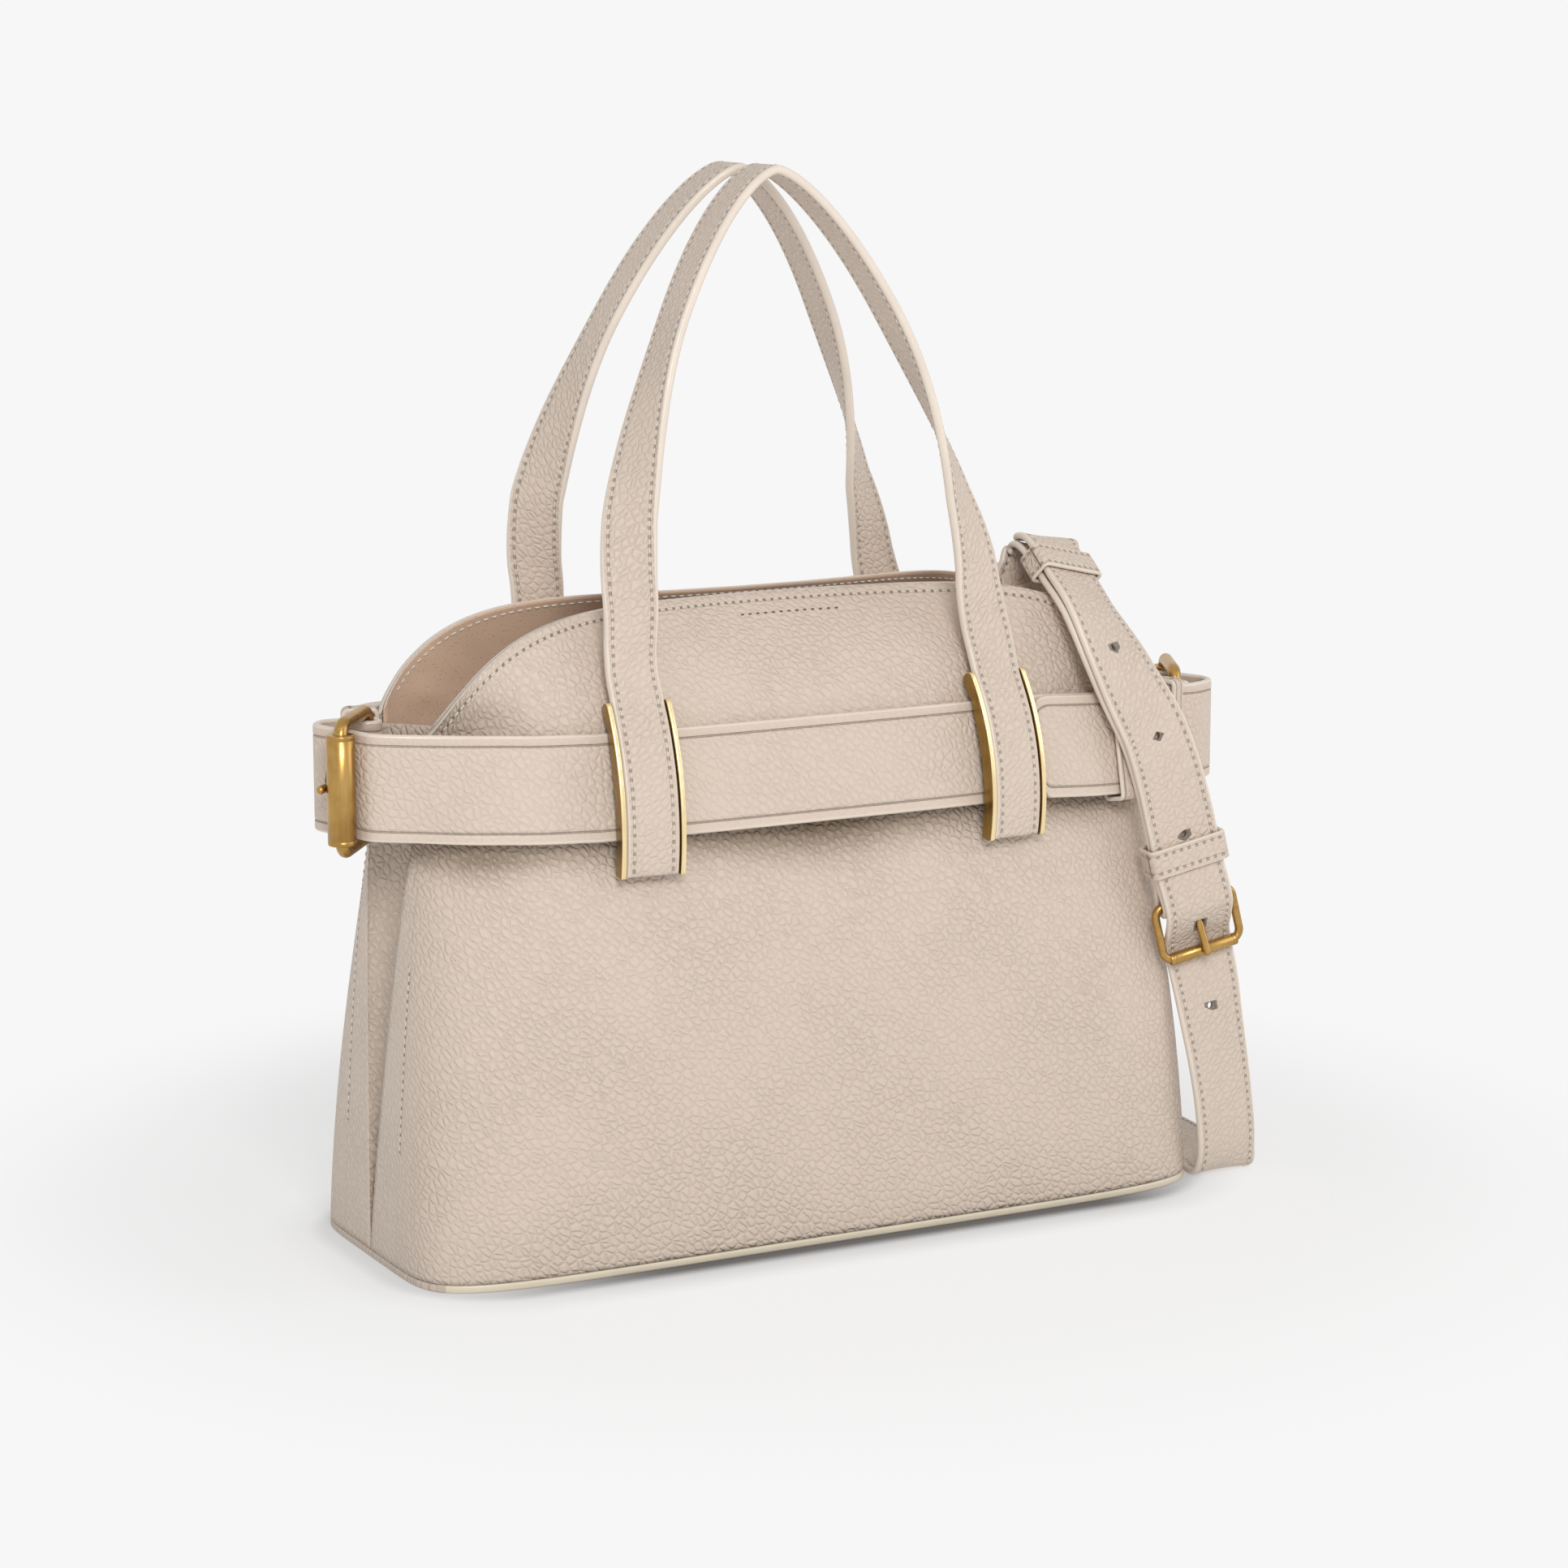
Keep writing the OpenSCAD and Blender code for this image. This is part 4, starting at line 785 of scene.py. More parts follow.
def grain_group():
    """Pebbled grain: soft pebbles between thin valleys, whose depth comes and goes over the hide."""
    group = bpy.data.node_groups.get("Pebbled grain")
    if group:
        return group
    group, t, i, o = new_group(
        "Pebbled grain",
        [("Vector", "NodeSocketVector", None), ("Size", "NodeSocketFloat", 0.0029)],
        [("Height", "NodeSocketFloat"), ("Valley", "NodeSocketFloat"), ("Cloud", "NodeSocketFloat")],
    )
    per = t.math("DIVIDE", 1.0, i["Size"])
    warp = t.add("ShaderNodeTexNoise", {"Vector": i["Vector"], "Scale": t.mul(per, 0.45), "Detail": 1.0})
    shift = t.vector("SUBTRACT", warp.outputs["Color"], (0.5, 0.5, 0.5))
    push = t.add("ShaderNodeVectorMath", {0: shift, "Scale": t.mul(i["Size"], 0.8)}, operation="SCALE")
    bent = t.vector("ADD", i["Vector"], push.outputs[0])
    values = {"Vector": bent, "Rotation": (0.0, 0.0, -0.75), "Scale": (1.28, 0.86, 1.0)}
    bent = t.add("ShaderNodeMapping", values, vector_type="TEXTURE").outputs["Vector"]
    cells = {"feature": "DISTANCE_TO_EDGE", "voronoi_dimensions": "2D"}
    big = t.add("ShaderNodeTexVoronoi", {"Vector": bent, "Scale": per, "Randomness": 0.9}, **cells)
    small = t.add("ShaderNodeTexVoronoi", {"Vector": bent, "Scale": t.mul(per, 2.3)}, **cells)
    cloud = t.noise(i["Vector"], 22.0, 2.0)
    depth = t.ramp(cloud, 0.3, 0.68, 0.7, 1.0)
    pebble = t.ramp(big.outputs["Distance"], 0.0, 0.3)
    fine = t.ramp(small.outputs["Distance"], 0.0, 0.22)
    height = t.math("MULTIPLY_ADD", pebble, 0.9, t.mul(fine, 0.1))
    height = t.plus(height, t.mul(t.noise(bent, t.mul(per, 0.9), 1.0), 0.5))
    valley = t.ramp(big.outputs["Distance"], 0.12, 0.0)
    pore = t.noise(i["Vector"], 2600.0, 1.0)
    height = t.plus(t.mul(height, depth), t.mul(pore, 0.10))
    t.give(o, {"Height": height, "Valley": t.mul(valley, depth), "Cloud": cloud})
    return group


def needle_group():
    """Line of needle holes: a shallow valley along the line and a dark hole at each pitch."""
    group = bpy.data.node_groups.get("Needle line")
    if group:
        return group
    group, t, i, o = new_group(
        "Needle line",
        [("Off", "NodeSocketFloat", 1.0), ("Along", "NodeSocketFloat", 0.0),
         ("Pitch", "NodeSocketFloat", 0.0032), ("Crease", "NodeSocketFloat", 0.0)],
        [("Hole", "NodeSocketFloat"), ("Dip", "NodeSocketFloat")],
    )
    off = t.math("ABSOLUTE", i["Off"])
    turn = t.math("FRACT", t.plus(t.math("DIVIDE", i["Along"], i["Pitch"]), 0.5))
    away = t.mul(t.mul(t.math("ABSOLUTE", t.less(turn, 0.5)), i["Pitch"]), 0.62)
    near = t.math("SQRT", t.plus(t.mul(off, off), t.mul(away, away)))
    hole = t.ramp(near, 0.0007, 0.00034)
    line = t.mul(t.ramp(off, 0.00045, 0.0001), i["Crease"])
    hole = t.mul(hole, t.less(1.0, i["Crease"]))
    t.give(o, {"Hole": t.math("MAXIMUM", hole, line), "Dip": t.ramp(off, 0.0014, 0.0)})
    return group


def material(name, base, roughness, metallic=0.0, **shader):
    """New material whose Principled shader has its constants set on its own sockets."""
    m = bpy.data.materials.new(name)
    m.use_nodes = True
    m.diffuse_color = rgba(base)
    t, p = Tree(m.node_tree), m.node_tree.nodes["Principled BSDF"].inputs
    t.give(p, {"Base Color": rgba(base), "Roughness": roughness, "Metallic": metallic})
    t.give(p, {key.replace("_", " "): value for key, value in shader.items()})
    return t, p


def finish(t, p, tone, height, distance, **others):
    """Colour of a material, its relief as a bump of that distance and its other inputs."""
    relief = t.add("ShaderNodeBump", {"Height": height, "Distance": distance, "Strength": 1.0})
    t.give(p, {"Base Color": tone, "Normal": relief.outputs["Normal"], **others})


def leather(name, base, grain, pitch, crease=0.0, depth=0.00042, stitched=True, shade=1.0, dark=0.75,
            pressed_and_shaded=False):
    """Pebbled leather with its lines of needle holes or its creased line. Where it reads the PressAndShade
    attribute, its grain deepens and a painted shade darkens it.
    """
    t, p = material(name, base, 0.5, Specular_IOR_Level=0.42, Sheen_Weight=0.06)
    where = t.where()
    if stitched:
        where = t.add("ShaderNodeCombineXYZ", {0: t.attribute("Across"), 1: t.attribute("Up")}).outputs[0]
    hide = t.group(grain_group(), {"Vector": where, "Size": grain})
    valley, height, cloud = hide["Valley"], hide["Height"], hide["Cloud"]
    # Deeper grain where the belt presses; the darker valleys there are partly painted shade
    if pressed_and_shaded:
        press_and_shade = t.attribute("PressAndShade")
        valley = t.mul(valley, t.math("MULTIPLY_ADD", press_and_shade, 3.2, 1.0))
        height = t.mul(height, t.math("MULTIPLY_ADD", press_and_shade, 1.1, 1.0))
    tone = t.blend(t.ramp(cloud, 0.25, 0.75, 0, 0.5), rgba(base, shade), rgba(base, 0.96 * shade))
    tone = t.blend(t.mul(valley, 0.2, clamp=True), tone, tinted(base, (0.7, 0.65, 0.58)))
    # Painted shade: under the belt and in the gussets' folds the leather darkens towards brown
    if pressed_and_shaded:
        tone = t.blend(t.mul(press_and_shade, 0.85), tone, tinted(base, (0.3, 0.25, 0.18)))
    high = t.mul(height, depth / 0.001)
    if stitched:
        off = t.attribute("Off")
        values = {"Off": off, "Along": t.attribute("Along"), "Pitch": pitch, "Crease": crease}
        needles = t.group(needle_group(), values)
        hole, dip = needles["Hole"], needles["Dip"]
        tone = t.blend(t.mul(hole, dark), tone, (0.12, 0.085, 0.055, 1))
        high = t.mul(high, t.less(1.0, t.mul(dip, 0.5)))
        high = t.less(t.less(high, t.mul(dip, 0.12)), t.mul(hole, 0.35))
    if crease:
        border = t.ramp(off, -0.0002, -0.0008)
        high = t.mul(high, t.less(1.0, t.mul(border, 0.8)))
    finish(t, p, tone, high, 0.001, Roughness=t.plus(0.47, t.mul(valley, 0.16)))


def edge_paint(name, base):
    """Painted edge: smooth and a little glossy, with a faint ripple from the brush."""
    t, p = material(name, base, 0.36, Specular_IOR_Level=0.5, Coat_Weight=0.12, Coat_Roughness=0.3)
    where = t.where()
    ripple = t.noise(where, 420.0, 2.0)
    tone = t.blend(t.ramp(t.noise(where, 60.0), 0.3, 0.7, 0, 0.6), rgba(base), rgba(base, 0.92))
    finish(t, p, tone, ripple, 0.00012, Roughness=t.ramp(ripple, 0.3, 0.7, 0.3, 0.45))


def suede_lining(name, base):
    """Fine suede-like lining with small darker pores."""
    t, p = material(name, base, 0.88, Specular_IOR_Level=0.2, Sheen_Weight=0.35, Sheen_Roughness=0.45)
    where = t.where()
    pores = t.add("ShaderNodeTexVoronoi", {"Vector": where, "Scale": 620.0}, feature="F1").outputs["Distance"]
    nap = t.noise(where, 900.0, 3.0, 0.65)
    tone = t.blend(t.ramp(t.noise(where, 40.0, 3.0), 0.3, 0.7, 0, 0.7), rgba(base), rgba(base, 0.86))
    tone = t.blend(t.ramp(pores, 0.28, 0.05, 0, 0.55), tone, rgba(base, 0.5))
    height = t.plus(t.mul(nap, 0.6), t.ramp(pores, 0.0, 0.3, 0, 0.5))
    finish(t, p, tone, height, 0.00018, Roughness=t.ramp(nap, 0.2, 0.8, 0.8, 0.95))


def sewing_thread(name, base):
    """Waxed thread with a fine twist."""
    t, p = material(name, base, 0.55, Sheen_Weight=0.1)
    values = {"Vector": t.where(), "Scale": 520.0, "Distortion": 1.5}
    twist = t.add("ShaderNodeTexWave", values, wave_type="BANDS", bands_direction="DIAGONAL")
    wave = twist.outputs["Fac"]
    tone = t.blend(t.mul(wave, 0.35), rgba(base), rgba(base, 0.72))
    finish(t, p, tone, wave, 0.0001, Roughness=t.ramp(wave, 0, 1, 0.5, 0.65))


def aged_brass(name, base, direction=(1.0, 1.0, 0.06), worn=0.75):
    """Aged brass: brushed along one direction, with brown patches where the polish has worn."""
    t, p = material(name, base, 0.3, metallic=1.0)
    where = t.where()
    brushed = t.noise(t.where(tuple(900 * d for d in direction)), 1.0, 3.0, 0.6)
    patch = t.noise(where, 55.0, 3.0, 0.6)
    tone = t.blend(t.ramp(patch, 0.35, 0.7, 0, worn), rgba(base), tinted(base, (0.62, 0.54, 0.42)))
    tone = t.blend(t.ramp(brushed, 0.4, 0.75, 0, 0.35), tone, tinted(base, (1.3, 1.4, 1.7)))
    finish(t, p, tone, brushed, 0.00003, Roughness=t.ramp(brushed, 0.2, 0.8, 0.22, 0.4))


def board_finish(name, base):
    """Pressed board: dark, dull and slightly fibrous."""
    t, p = material(name, base, 0.85)
    fibre = t.noise(t.where((1.0, 0.15, 1.0)), 900.0, 3.0)
    finish(t, p, t.blend(fibre, rgba(base, 0.7), rgba(base, 1.4)), fibre, 0.0002)


def finishes(context):
    """Each finish by its name, made once."""
    f, s = context.scene.bag_finish, context.scene.bag_straps
    made = bpy.data.materials
    if "Body leather" not in made:
        grain, pitch = f.grain, s.stitch_pitch
        leather("Body leather", f.leather, grain, pitch, pressed_and_shaded=True)
        leather("Gusset leather", f.leather, grain, pitch, depth=0.0005, shade=0.97, pressed_and_shaded=True)
        leather("Belt leather", f.leather, grain, pitch, crease=1.0, depth=0.00033, dark=0.36)
        leather("Strap leather", f.leather, grain * 0.92, pitch, depth=0.00036, dark=0.48)
        leather("Base leather", f.leather, grain * 0.8, pitch, stitched=False, shade=0.96)
        edge_paint("Edge paint", f.edge)
        edge_paint("Base edge", (0.80, 0.71, 0.55))
        suede_lining("Suede lining", f.lining)
        sewing_thread("Leather thread", f.thread)
        sewing_thread("Lining thread", f.lining_thread)
        sewing_thread("Brown thread", (0.17, 0.085, 0.05))
        aged_brass("Aged brass", f.brass)
        aged_brass("Aged brass bars", f.brass, (0.08, 1.0, 1.0))
        # Lit and shaded copies of the brass for the rails: a painted highlight on their outer rounded faces,
        # a painted shade on their sides
        aged_brass("Brass edge with painted highlight", (0.93, 0.74, 0.42), worn=0.12)
        aged_brass("Brass flank with painted shade", (0.36, 0.232, 0.07))
        board_finish("Board", (0.06, 0.052, 0.045))
    return made


# Belt, handles and shoulder strap paths

def turn_out(v):
    """Plan directions turned a quarter turn to the right."""
    return np.stack([v[..., 1], -v[..., 0]], axis=-1)


def end_width(width, s, radius):
    """Width of a strap at a distance from its rounded end."""
    s = np.asarray(s, float)
    inner = radius - np.sqrt(np.maximum(0, radius**2 - (radius - np.minimum(s, radius)) ** 2))
    return np.where(s >= radius, width, width - 2 * inner)


class Belts:
    """Plan paths of the two belts, each threaded through the other one's roller buckle."""

    def __init__(self, body, p):
        self.body = body
        self.w, self.t = p.belt_width / MM, p.belt_thickness / MM
        self.rod, self.buckle, self.roller, self.prong = 5.0, 34.0, 10.0, 3.0
        self.frame_half = self.w / 2 + 0.8 + self.rod / 2
        half = body.waist_w / 2
        self.heel = {"left": np.array([-(half + 6.5), 4.0]), "right": np.array([half + 18, -18.3])}
        self.run = {"left": unit([-20.8, -26.9]), "right": unit([0.44, 0.898])}
        self.arrive = {"left": unit([-0.318, -0.948]), "right": unit([0.883, 0.47])}
        self.layer = self.t + SEAT
        self.gap, self.fold = self.t / 2 + 0.2, self.rod / 2 + SEAT + self.t / 2
        self.end_x = half - 13
        self.end_y = body.waist_y(self.end_x) + 8.4
        self.tilt = math.asin((self.roller / 2 + self.prong / 2 + 0.15) / self.buckle)

    def middle(self, x):
        """Height of the middle of the belt: it rises to the left buckle and drops to the right."""
        x = np.asarray(x, float)
        return self.body.belt_z - 1 + np.maximum(-90 - x, 0) * 0.05 - np.maximum(x - 90, 0) * 0.06

    def on_body(self, x, side, level):
        """Belt points on the panel at x: side -1 is the front, level 1 lies on the other belt."""
        x = np.asarray(x, float)
        slope = self.body.waist_y(np.abs(x) + 0.5) - self.body.waist_y(np.abs(x) - 0.5)
        ease = 3.05 * step(np.abs(x), 86, 119)
        off = (SEAT + 0.1 + self.t / 2 + ease + level * self.layer) * np.sqrt(1 + slope**2)
        return np.stack([x, side * (self.body.waist_y(x) + off)], axis=-1)

    def chape(self, side, mid):
        """The belt's start at its heel bar: from mid on the body to the bar."""
        heel, a, f = self.heel[side], self.arrive[side], turn_out(self.arrive[side])
        rows = [(24, self.gap), (14, self.gap), (9, self.gap + 0.1), (4.5, 2.9), (0, self.fold)]
        return np.array([mid] + [heel - d * a + h * f for d, h in rows])

    def turn_round(self, side):
        """The fold round the heel bar and the sewn end behind it."""
        heel, a, f = self.heel[side], self.arrive[side], turn_out(self.arrive[side])
        ang = np.radians([60, 30, 0, -30, -60, -90])[:, None]
        back = [(4.5, 2.9), (9, self.gap + 0.1), (17, self.gap)]
        sewn = [heel - d * a - h * f for d, h in back]
        return np.concatenate([heel + self.fold * (np.cos(ang) * a + np.sin(ang) * f), sewn])

    def lift(self, start, p, count, amount):
        """The first points of p, lifted off the belt under them."""
        q = np.concatenate([[start], p])
        i = np.arange(1, count + 1)
        d = unit(q[i + 1] - q[i - 1])
        return q[i] + amount * turn_out(d)

    def thread(self, side, rows):
        """Points in a buckle, from distances along it and out of it."""
        r, o = self.run[side], turn_out(self.run[side])
        return np.array([self.heel[side] + a * r + b * o for a, b in rows])

    def plan(self, which):
        """Key points of one belt: tip, lift over the other belt, roller, body, heel bar, sewn end."""
        b = self.buckle
        enter = [(b - 24.7, 13.8), (b - 16.4, 13.2), (b - 11.8, 7.1), (b - 9, -0.4), (b - 4.2, -7)]
        xs = np.array([-122, -116, -108, -95, -75, -45, 0, 45, 75, 95, 108, 116, 121], float)
        tips = np.array([88, 96, 104, 112, 120], float)
        left = self.chape("left", (-self.end_x, self.end_y))
        right = self.chape("right", (self.end_x + 3, -(self.end_y - 0.2)))
        half = self.body.waist_w / 2
        if which == "front":
            return np.concatenate([
                self.on_body(-tips, 1, 1),
                self.lift(self.on_body(-120, 1, 0), left, 3, self.layer + 0.1),
                self.thread("left", [(-5.1, 7.9), (2.4, 9.4)] + enter + [(b - 3, -13)]),
                [[-(half + 1), -(self.end_y - 5.8)], [-self.end_x, -(self.end_y - 0.6)]],
                self.on_body(xs, -1, 0), right, self.turn_round("right"),
            ])
        a, f = self.arrive["right"], turn_out(self.arrive["right"])
        over = self.heel["right"] + (self.fold + self.layer + 0.4) * f + 1.5 * a
        return np.concatenate([
            self.on_body(tips, -1, 1),
            self.lift(self.on_body(120, -1, 0), right, 4, self.layer + 0.1), [over],
            self.thread("right", enter + [(b + 2.5, -11)]),
            [[half + 14, self.end_y - 11.3], [half + 1, self.end_y - 5.4], [self.end_x, self.end_y - 0.6]],
            self.on_body(-xs, 1, 0), left, self.turn_round("left"),
        ])

    def lean(self, x):
        """Lean of the belt's face against the upright, which the buckles take away."""
        x = np.abs(x)
        return BELT_LEAN * (1 - 0.24 * step(x, 80, 116)) * (1 - step(x, 122, 156))

    def ribbon(self, which):
        c = spline(self.plan(which), 9)
        lean = self.lean(c[:, 0])
        up = np.column_stack([-np.sin(lean)[:, None] * turn_out(headings(c)), np.cos(lean)])
        centre = np.column_stack([c, self.middle(c[:, 0])])
        widths = end_width(self.w, lengths(c) + 0.4, 5.0)
        return Ribbon(centre, up, widths, self.t, seam=3.9, groove=0.38)

    def bar_frame(self, side):
        """Origin of a buckle at its heel bar, its direction to the roller and its outward face."""
        h = self.heel[side]
        z = float(self.middle(h[0]))
        r, o = self.run[side], turn_out(self.run[side])
        return np.array([h[0], h[1], z]), np.array([*r, 0.0]), np.array([*o, 0.0])


class HandlePath:
    """Middle line of one handle strap, from tab to tab over the arch, with its width directions."""

    def __init__(self, body, p, back):
        self.body = body
        self.w, self.t = p.handle_width / MM, p.handle_thickness / MM
        self.leg_x, self.top = 73.0, 386.0
        self.arc_y, self.arc_z = 20.5, body.belt_z - 18.2
        self.outer_r = RAIL_OUTER - 0.6
        self.mid_r = self.outer_r - self.t / 2
        self.pivot_y = self.arc_y - (self.outer_r + 0.3) * math.cos(math.radians(38.5))
        self.pivot_z = self.arc_z + (self.outer_r + 0.3) * math.sin(math.radians(38.5))
        self.foot_y = self.pivot_y + self.t / 2 + 0.3
        self.leg_z = self.pivot_z + 34
        self.lean = 9.0 if back else -5.0
        self.back = back

    def on_arc(self, degrees, radius, x=0.0):
        """Point of a bracket's arc before the bracket is put in its place."""
        a = np.radians(degrees)
        y, z = self.arc_y - radius * np.cos(a), self.arc_z + radius * np.sin(a)
        return np.stack([x + 0 * a, y, z], axis=-1)

    def at_leg(self, p, sx):
        """Moves bracket points to the leg at side sx: turned 5 degrees about the bag's face."""
        yaw = sx * BRACKET_YAW
        face_y = self.body.waist_d / 2
        x, y = p[..., 0], p[..., 1] + face_y
        c, s = math.cos(yaw), math.sin(yaw)
        return np.stack([sx * self.leg_x + x * c - y * s, -face_y + x * s + y * c, p[..., 2]], axis=-1)

    def half(self):
        """Right half: tab arc, a short Hermite bridge over the hinge line, leg, quarter of the arch.

        The arch is a superellipse with exponent 3/2 in x and z, leaning in to the top.
        """
        tab = self.at_leg(self.on_arc(np.linspace(-10, 33, 40), self.mid_r), 1)
        k = np.linspace(0, 1, 16)
        foot_x = self.leg_x - 3 * smooth(k)
        foot_y = self.foot_y + 2 * smooth(np.minimum(1, 2 * k))
        leg = np.stack([foot_x, foot_y, self.pivot_z + 0.3 + k * (self.leg_z - self.pivot_z - 0.3)], axis=1)
        leg = leg[leg[:, 2] > self.pivot_z + 8]
        th = np.radians(np.linspace(90, 0, 70))[1:]
        share = np.maximum(np.cos(th), 0) ** (4 / 3)
        rise = (self.top - self.t / 2 - self.leg_z) * share
        x = (self.leg_x - 3) * np.sin(th) ** (4 / 3)
        arch_y = -(self.w / 2 + 0.4)
        y = self.foot_y + 2 + (arch_y - self.foot_y - 2) * share**1.3
        arch = np.stack([x, y, self.leg_z + rise], axis=1)
        rest = np.concatenate([leg, arch])
        d0, d1 = unit(tab[-1] - tab[-2]), unit(rest[1] - rest[0])
        gap = np.linalg.norm(rest[0] - tab[-1])
        s = np.linspace(0, 1, 12)[1:-1, None]
        bridge = hermite(s, tab[-1], rest[0], d0 * gap, d1 * gap)
        return np.concatenate([tab, bridge, rest])

    def ribbon(self):
        """The whole strap: its face turns from the front at its feet to the outside at the top."""
        right = self.half()
        path = np.concatenate([right, right[-2::-1] * np.array([-1, 1, 1])])
        shift = self.lean * np.clip((path[:, 2] - self.pivot_z) / 60, 0, 1)
        along = headings(path)
        front = square_to(np.tile(-Y, (len(path), 1)), along)
        side = np.cross(along, front)
        start = self.pivot_z + 2
        turn = np.pi / 2 * step(path[:, 2], start, start + 0.7 * (self.top - self.pivot_z))
        out = np.cos(turn)[:, None] * front + (-1 if self.back else 1) * np.sin(turn)[:, None] * side
        across = np.cross(out, along)
        yaw = BRACKET_YAW * (1 - step(path[:, 2], self.pivot_z - 12, self.pivot_z + 12))
        leg = np.where(np.arange(len(path)) < len(right) - 1, -1, 1)
        at_bracket = np.stack([leg * np.cos(yaw), -np.sin(yaw), 0 * yaw], axis=1)
        hints = np.where(path[:, 2:] < self.pivot_z + 12, at_bracket, across)
        path = path + shift[:, None] * X
        if self.back:
            path, hints = half_turn(path), half_turn(hints)
        s = lengths(path)
        at = np.linspace(0, s[-1], 330)
        centre, hints = resample(path, s, at), unit(resample(hints, s, at))
        return Ribbon(centre, hints, self.w, self.t, seam=2.7, groove=0.12, edge=1.1)


class ShoulderStrap:
    """Rows of the two pieces of the shoulder strap: middle points and width directions."""

    def __init__(self, p):
        self.w, self.t = p.strap_width / MM, p.strap_thickness / MM
        self.rod, self.gap, self.half_gap = 3.2, self.t + SEAT, self.t / 2 + 0.15
        self.down = unit([0.235, -0.03, -0.972])
        hint = np.array([0.96, -0.15, 0.22])
        self.across = unit(hint - self.down * (self.down @ hint))
        self.face = np.cross(self.down, self.across)
        self.heel = np.array([152.1, -55.7, 111.2])
        self.buckle, self.roller, self.prong = 21.0, 4.6, 3.0
        self.tilt = math.asin((self.roller / 2 + self.prong / 2 + 0.15) / self.buckle)
        self.frame_half = self.w / 2 + 0.7 + self.rod / 2
        self.top_w = np.array([0.93, 0.33, -0.14])
        self.ring_x, self.ring_z, self.ring_r = 116.5, 177.0, 13.0
        self.eye_rod = 3.0

    def at(self, u, v):
        return self.heel + u * self.down + v * self.face

    def eye(self, y, down, hint):
        """Strap bar of a snap hook that hangs on the ring's wire at depth y, and its directions."""
        wire = np.array([self.ring_x, y, self.ring_z + 3 + math.sqrt(self.ring_r**2 - y * y)])
        a = unit(down)
        across = unit(np.array(hint) - a * (a @ np.array(hint)))
        return wire - 18.8 * a, a, across

    def fold(self, h, a, n, r, tail):
        ang = np.radians([90, 60, 30, 0, -30, -60, -90])[:, None]
        g = self.half_gap
        return np.concatenate([
            [h - 13 * a + g * n, h - 8 * a + (g + 0.1) * n, h - 4 * a + r * 0.8 * n],
            h + r * (np.cos(ang) * a + np.sin(ang) * n),
            [h - 4 * a - r * 0.8 * n, h - 8 * a - (g + 0.1) * n, h - tail * a - g * n],
        ])

    def outer_rows(self):
        t, fa, g = self.top_w, self.across, self.half_gap + self.gap
        rows = [
            ((116.6, -2.5, 243), t), ((116, -10.5, 242), t), ((116.75, -23.2, 231.8), t),
            ((117.5, -36, 221.5), t), ((121.2, -46.5, 206.6), (0.96, 0.2, 0)),
            ((127, -52, 191.6), (0.97, 0.1, 0.1)), ((134.3, -55.4, 176.2), (0.97, 0, 0.15)),
            ((139.2, -57.6, 160.8), (0.96, -0.08, 0.2)), ((143, -58.8, 146), fa),
        ]
        rows += [(self.at(u, v), fa) for u, v in [
            (-24, g), (-13, g), (-4, 5.7), (3, 5.6), (9.5, 1.6), (15.5, -3.2), (21.5, -4.4)]]
        return [np.array(part, float) for part in zip(*rows)]

    def hole_side(self):
        """Outer piece: tip, buckle, floor, up behind the bag and over the rim to the back hook."""
        p, w = self.outer_rows()
        flat = self.t / 2 + 0.05
        rows = [
            ((160.3, -53.2, 78), (0.97, -0.1, 0.2)), ((162.1, -55, 64.4), (0.98, 0, 0.15)),
            ((164.3, -56.8, 48.7), (0.98, 0.08, 0.1)), ((166.6, -57.6, 32.7), (0.98, 0.12, 0.08)),
            ((169, -56.8, 16.1), (0.98, 0.12, 0.05)), ((170.4, -53.6, 6), (0.98, 0.1, 0)),
            ((172.2, -47, 1.75), (0.98, 0, 0)), ((175.2, -36, flat), (0.98, -0.15, 0)),
            ((181, -10, flat), (0.98, -0.15, 0)), ((184, 18, flat), (1, 0, 0)),
            ((183.6, 38, 2.2), (1, 0.05, 0)), ((181.2, 50, 8), (1, 0, 0)),
            ((177, 56, 21), (0.98, -0.1, 0)), ((169.5, 59, 46), (0.97, -0.1, 0.2)),
            ((161, 58, 80), (0.97, -0.1, 0.2)), ((152.5, 55, 118), (0.97, -0.1, 0.2)),
            ((144.5, 51.5, 152), (0.97, -0.12, 0.2)), ((136.5, 47.5, 180), (0.97, -0.2, 0.1)),
            ((127, 42.5, 203), (0.96, -0.28, 0)), ((119.5, 36.6, 219.5), (0.95, -0.3, -0.15)),
            ((115, 27.5, 229), (0.94, -0.3, -0.22)), ((112.6, 20, 227.6), (0.95, 0, -0.15)),
        ]
        eye, a, across = self.eye(7, (4, -5, -17.5), (0.99, 0.12, 0))
        end = self.fold(eye, a, np.cross(a, across), self.eye_rod / 2 + SEAT + self.t / 2, 17)
        p = np.concatenate([p, [r[0] for r in rows], end])
        w = np.concatenate([w, [r[1] for r in rows], np.tile(across, (len(end), 1))])
        return p, w

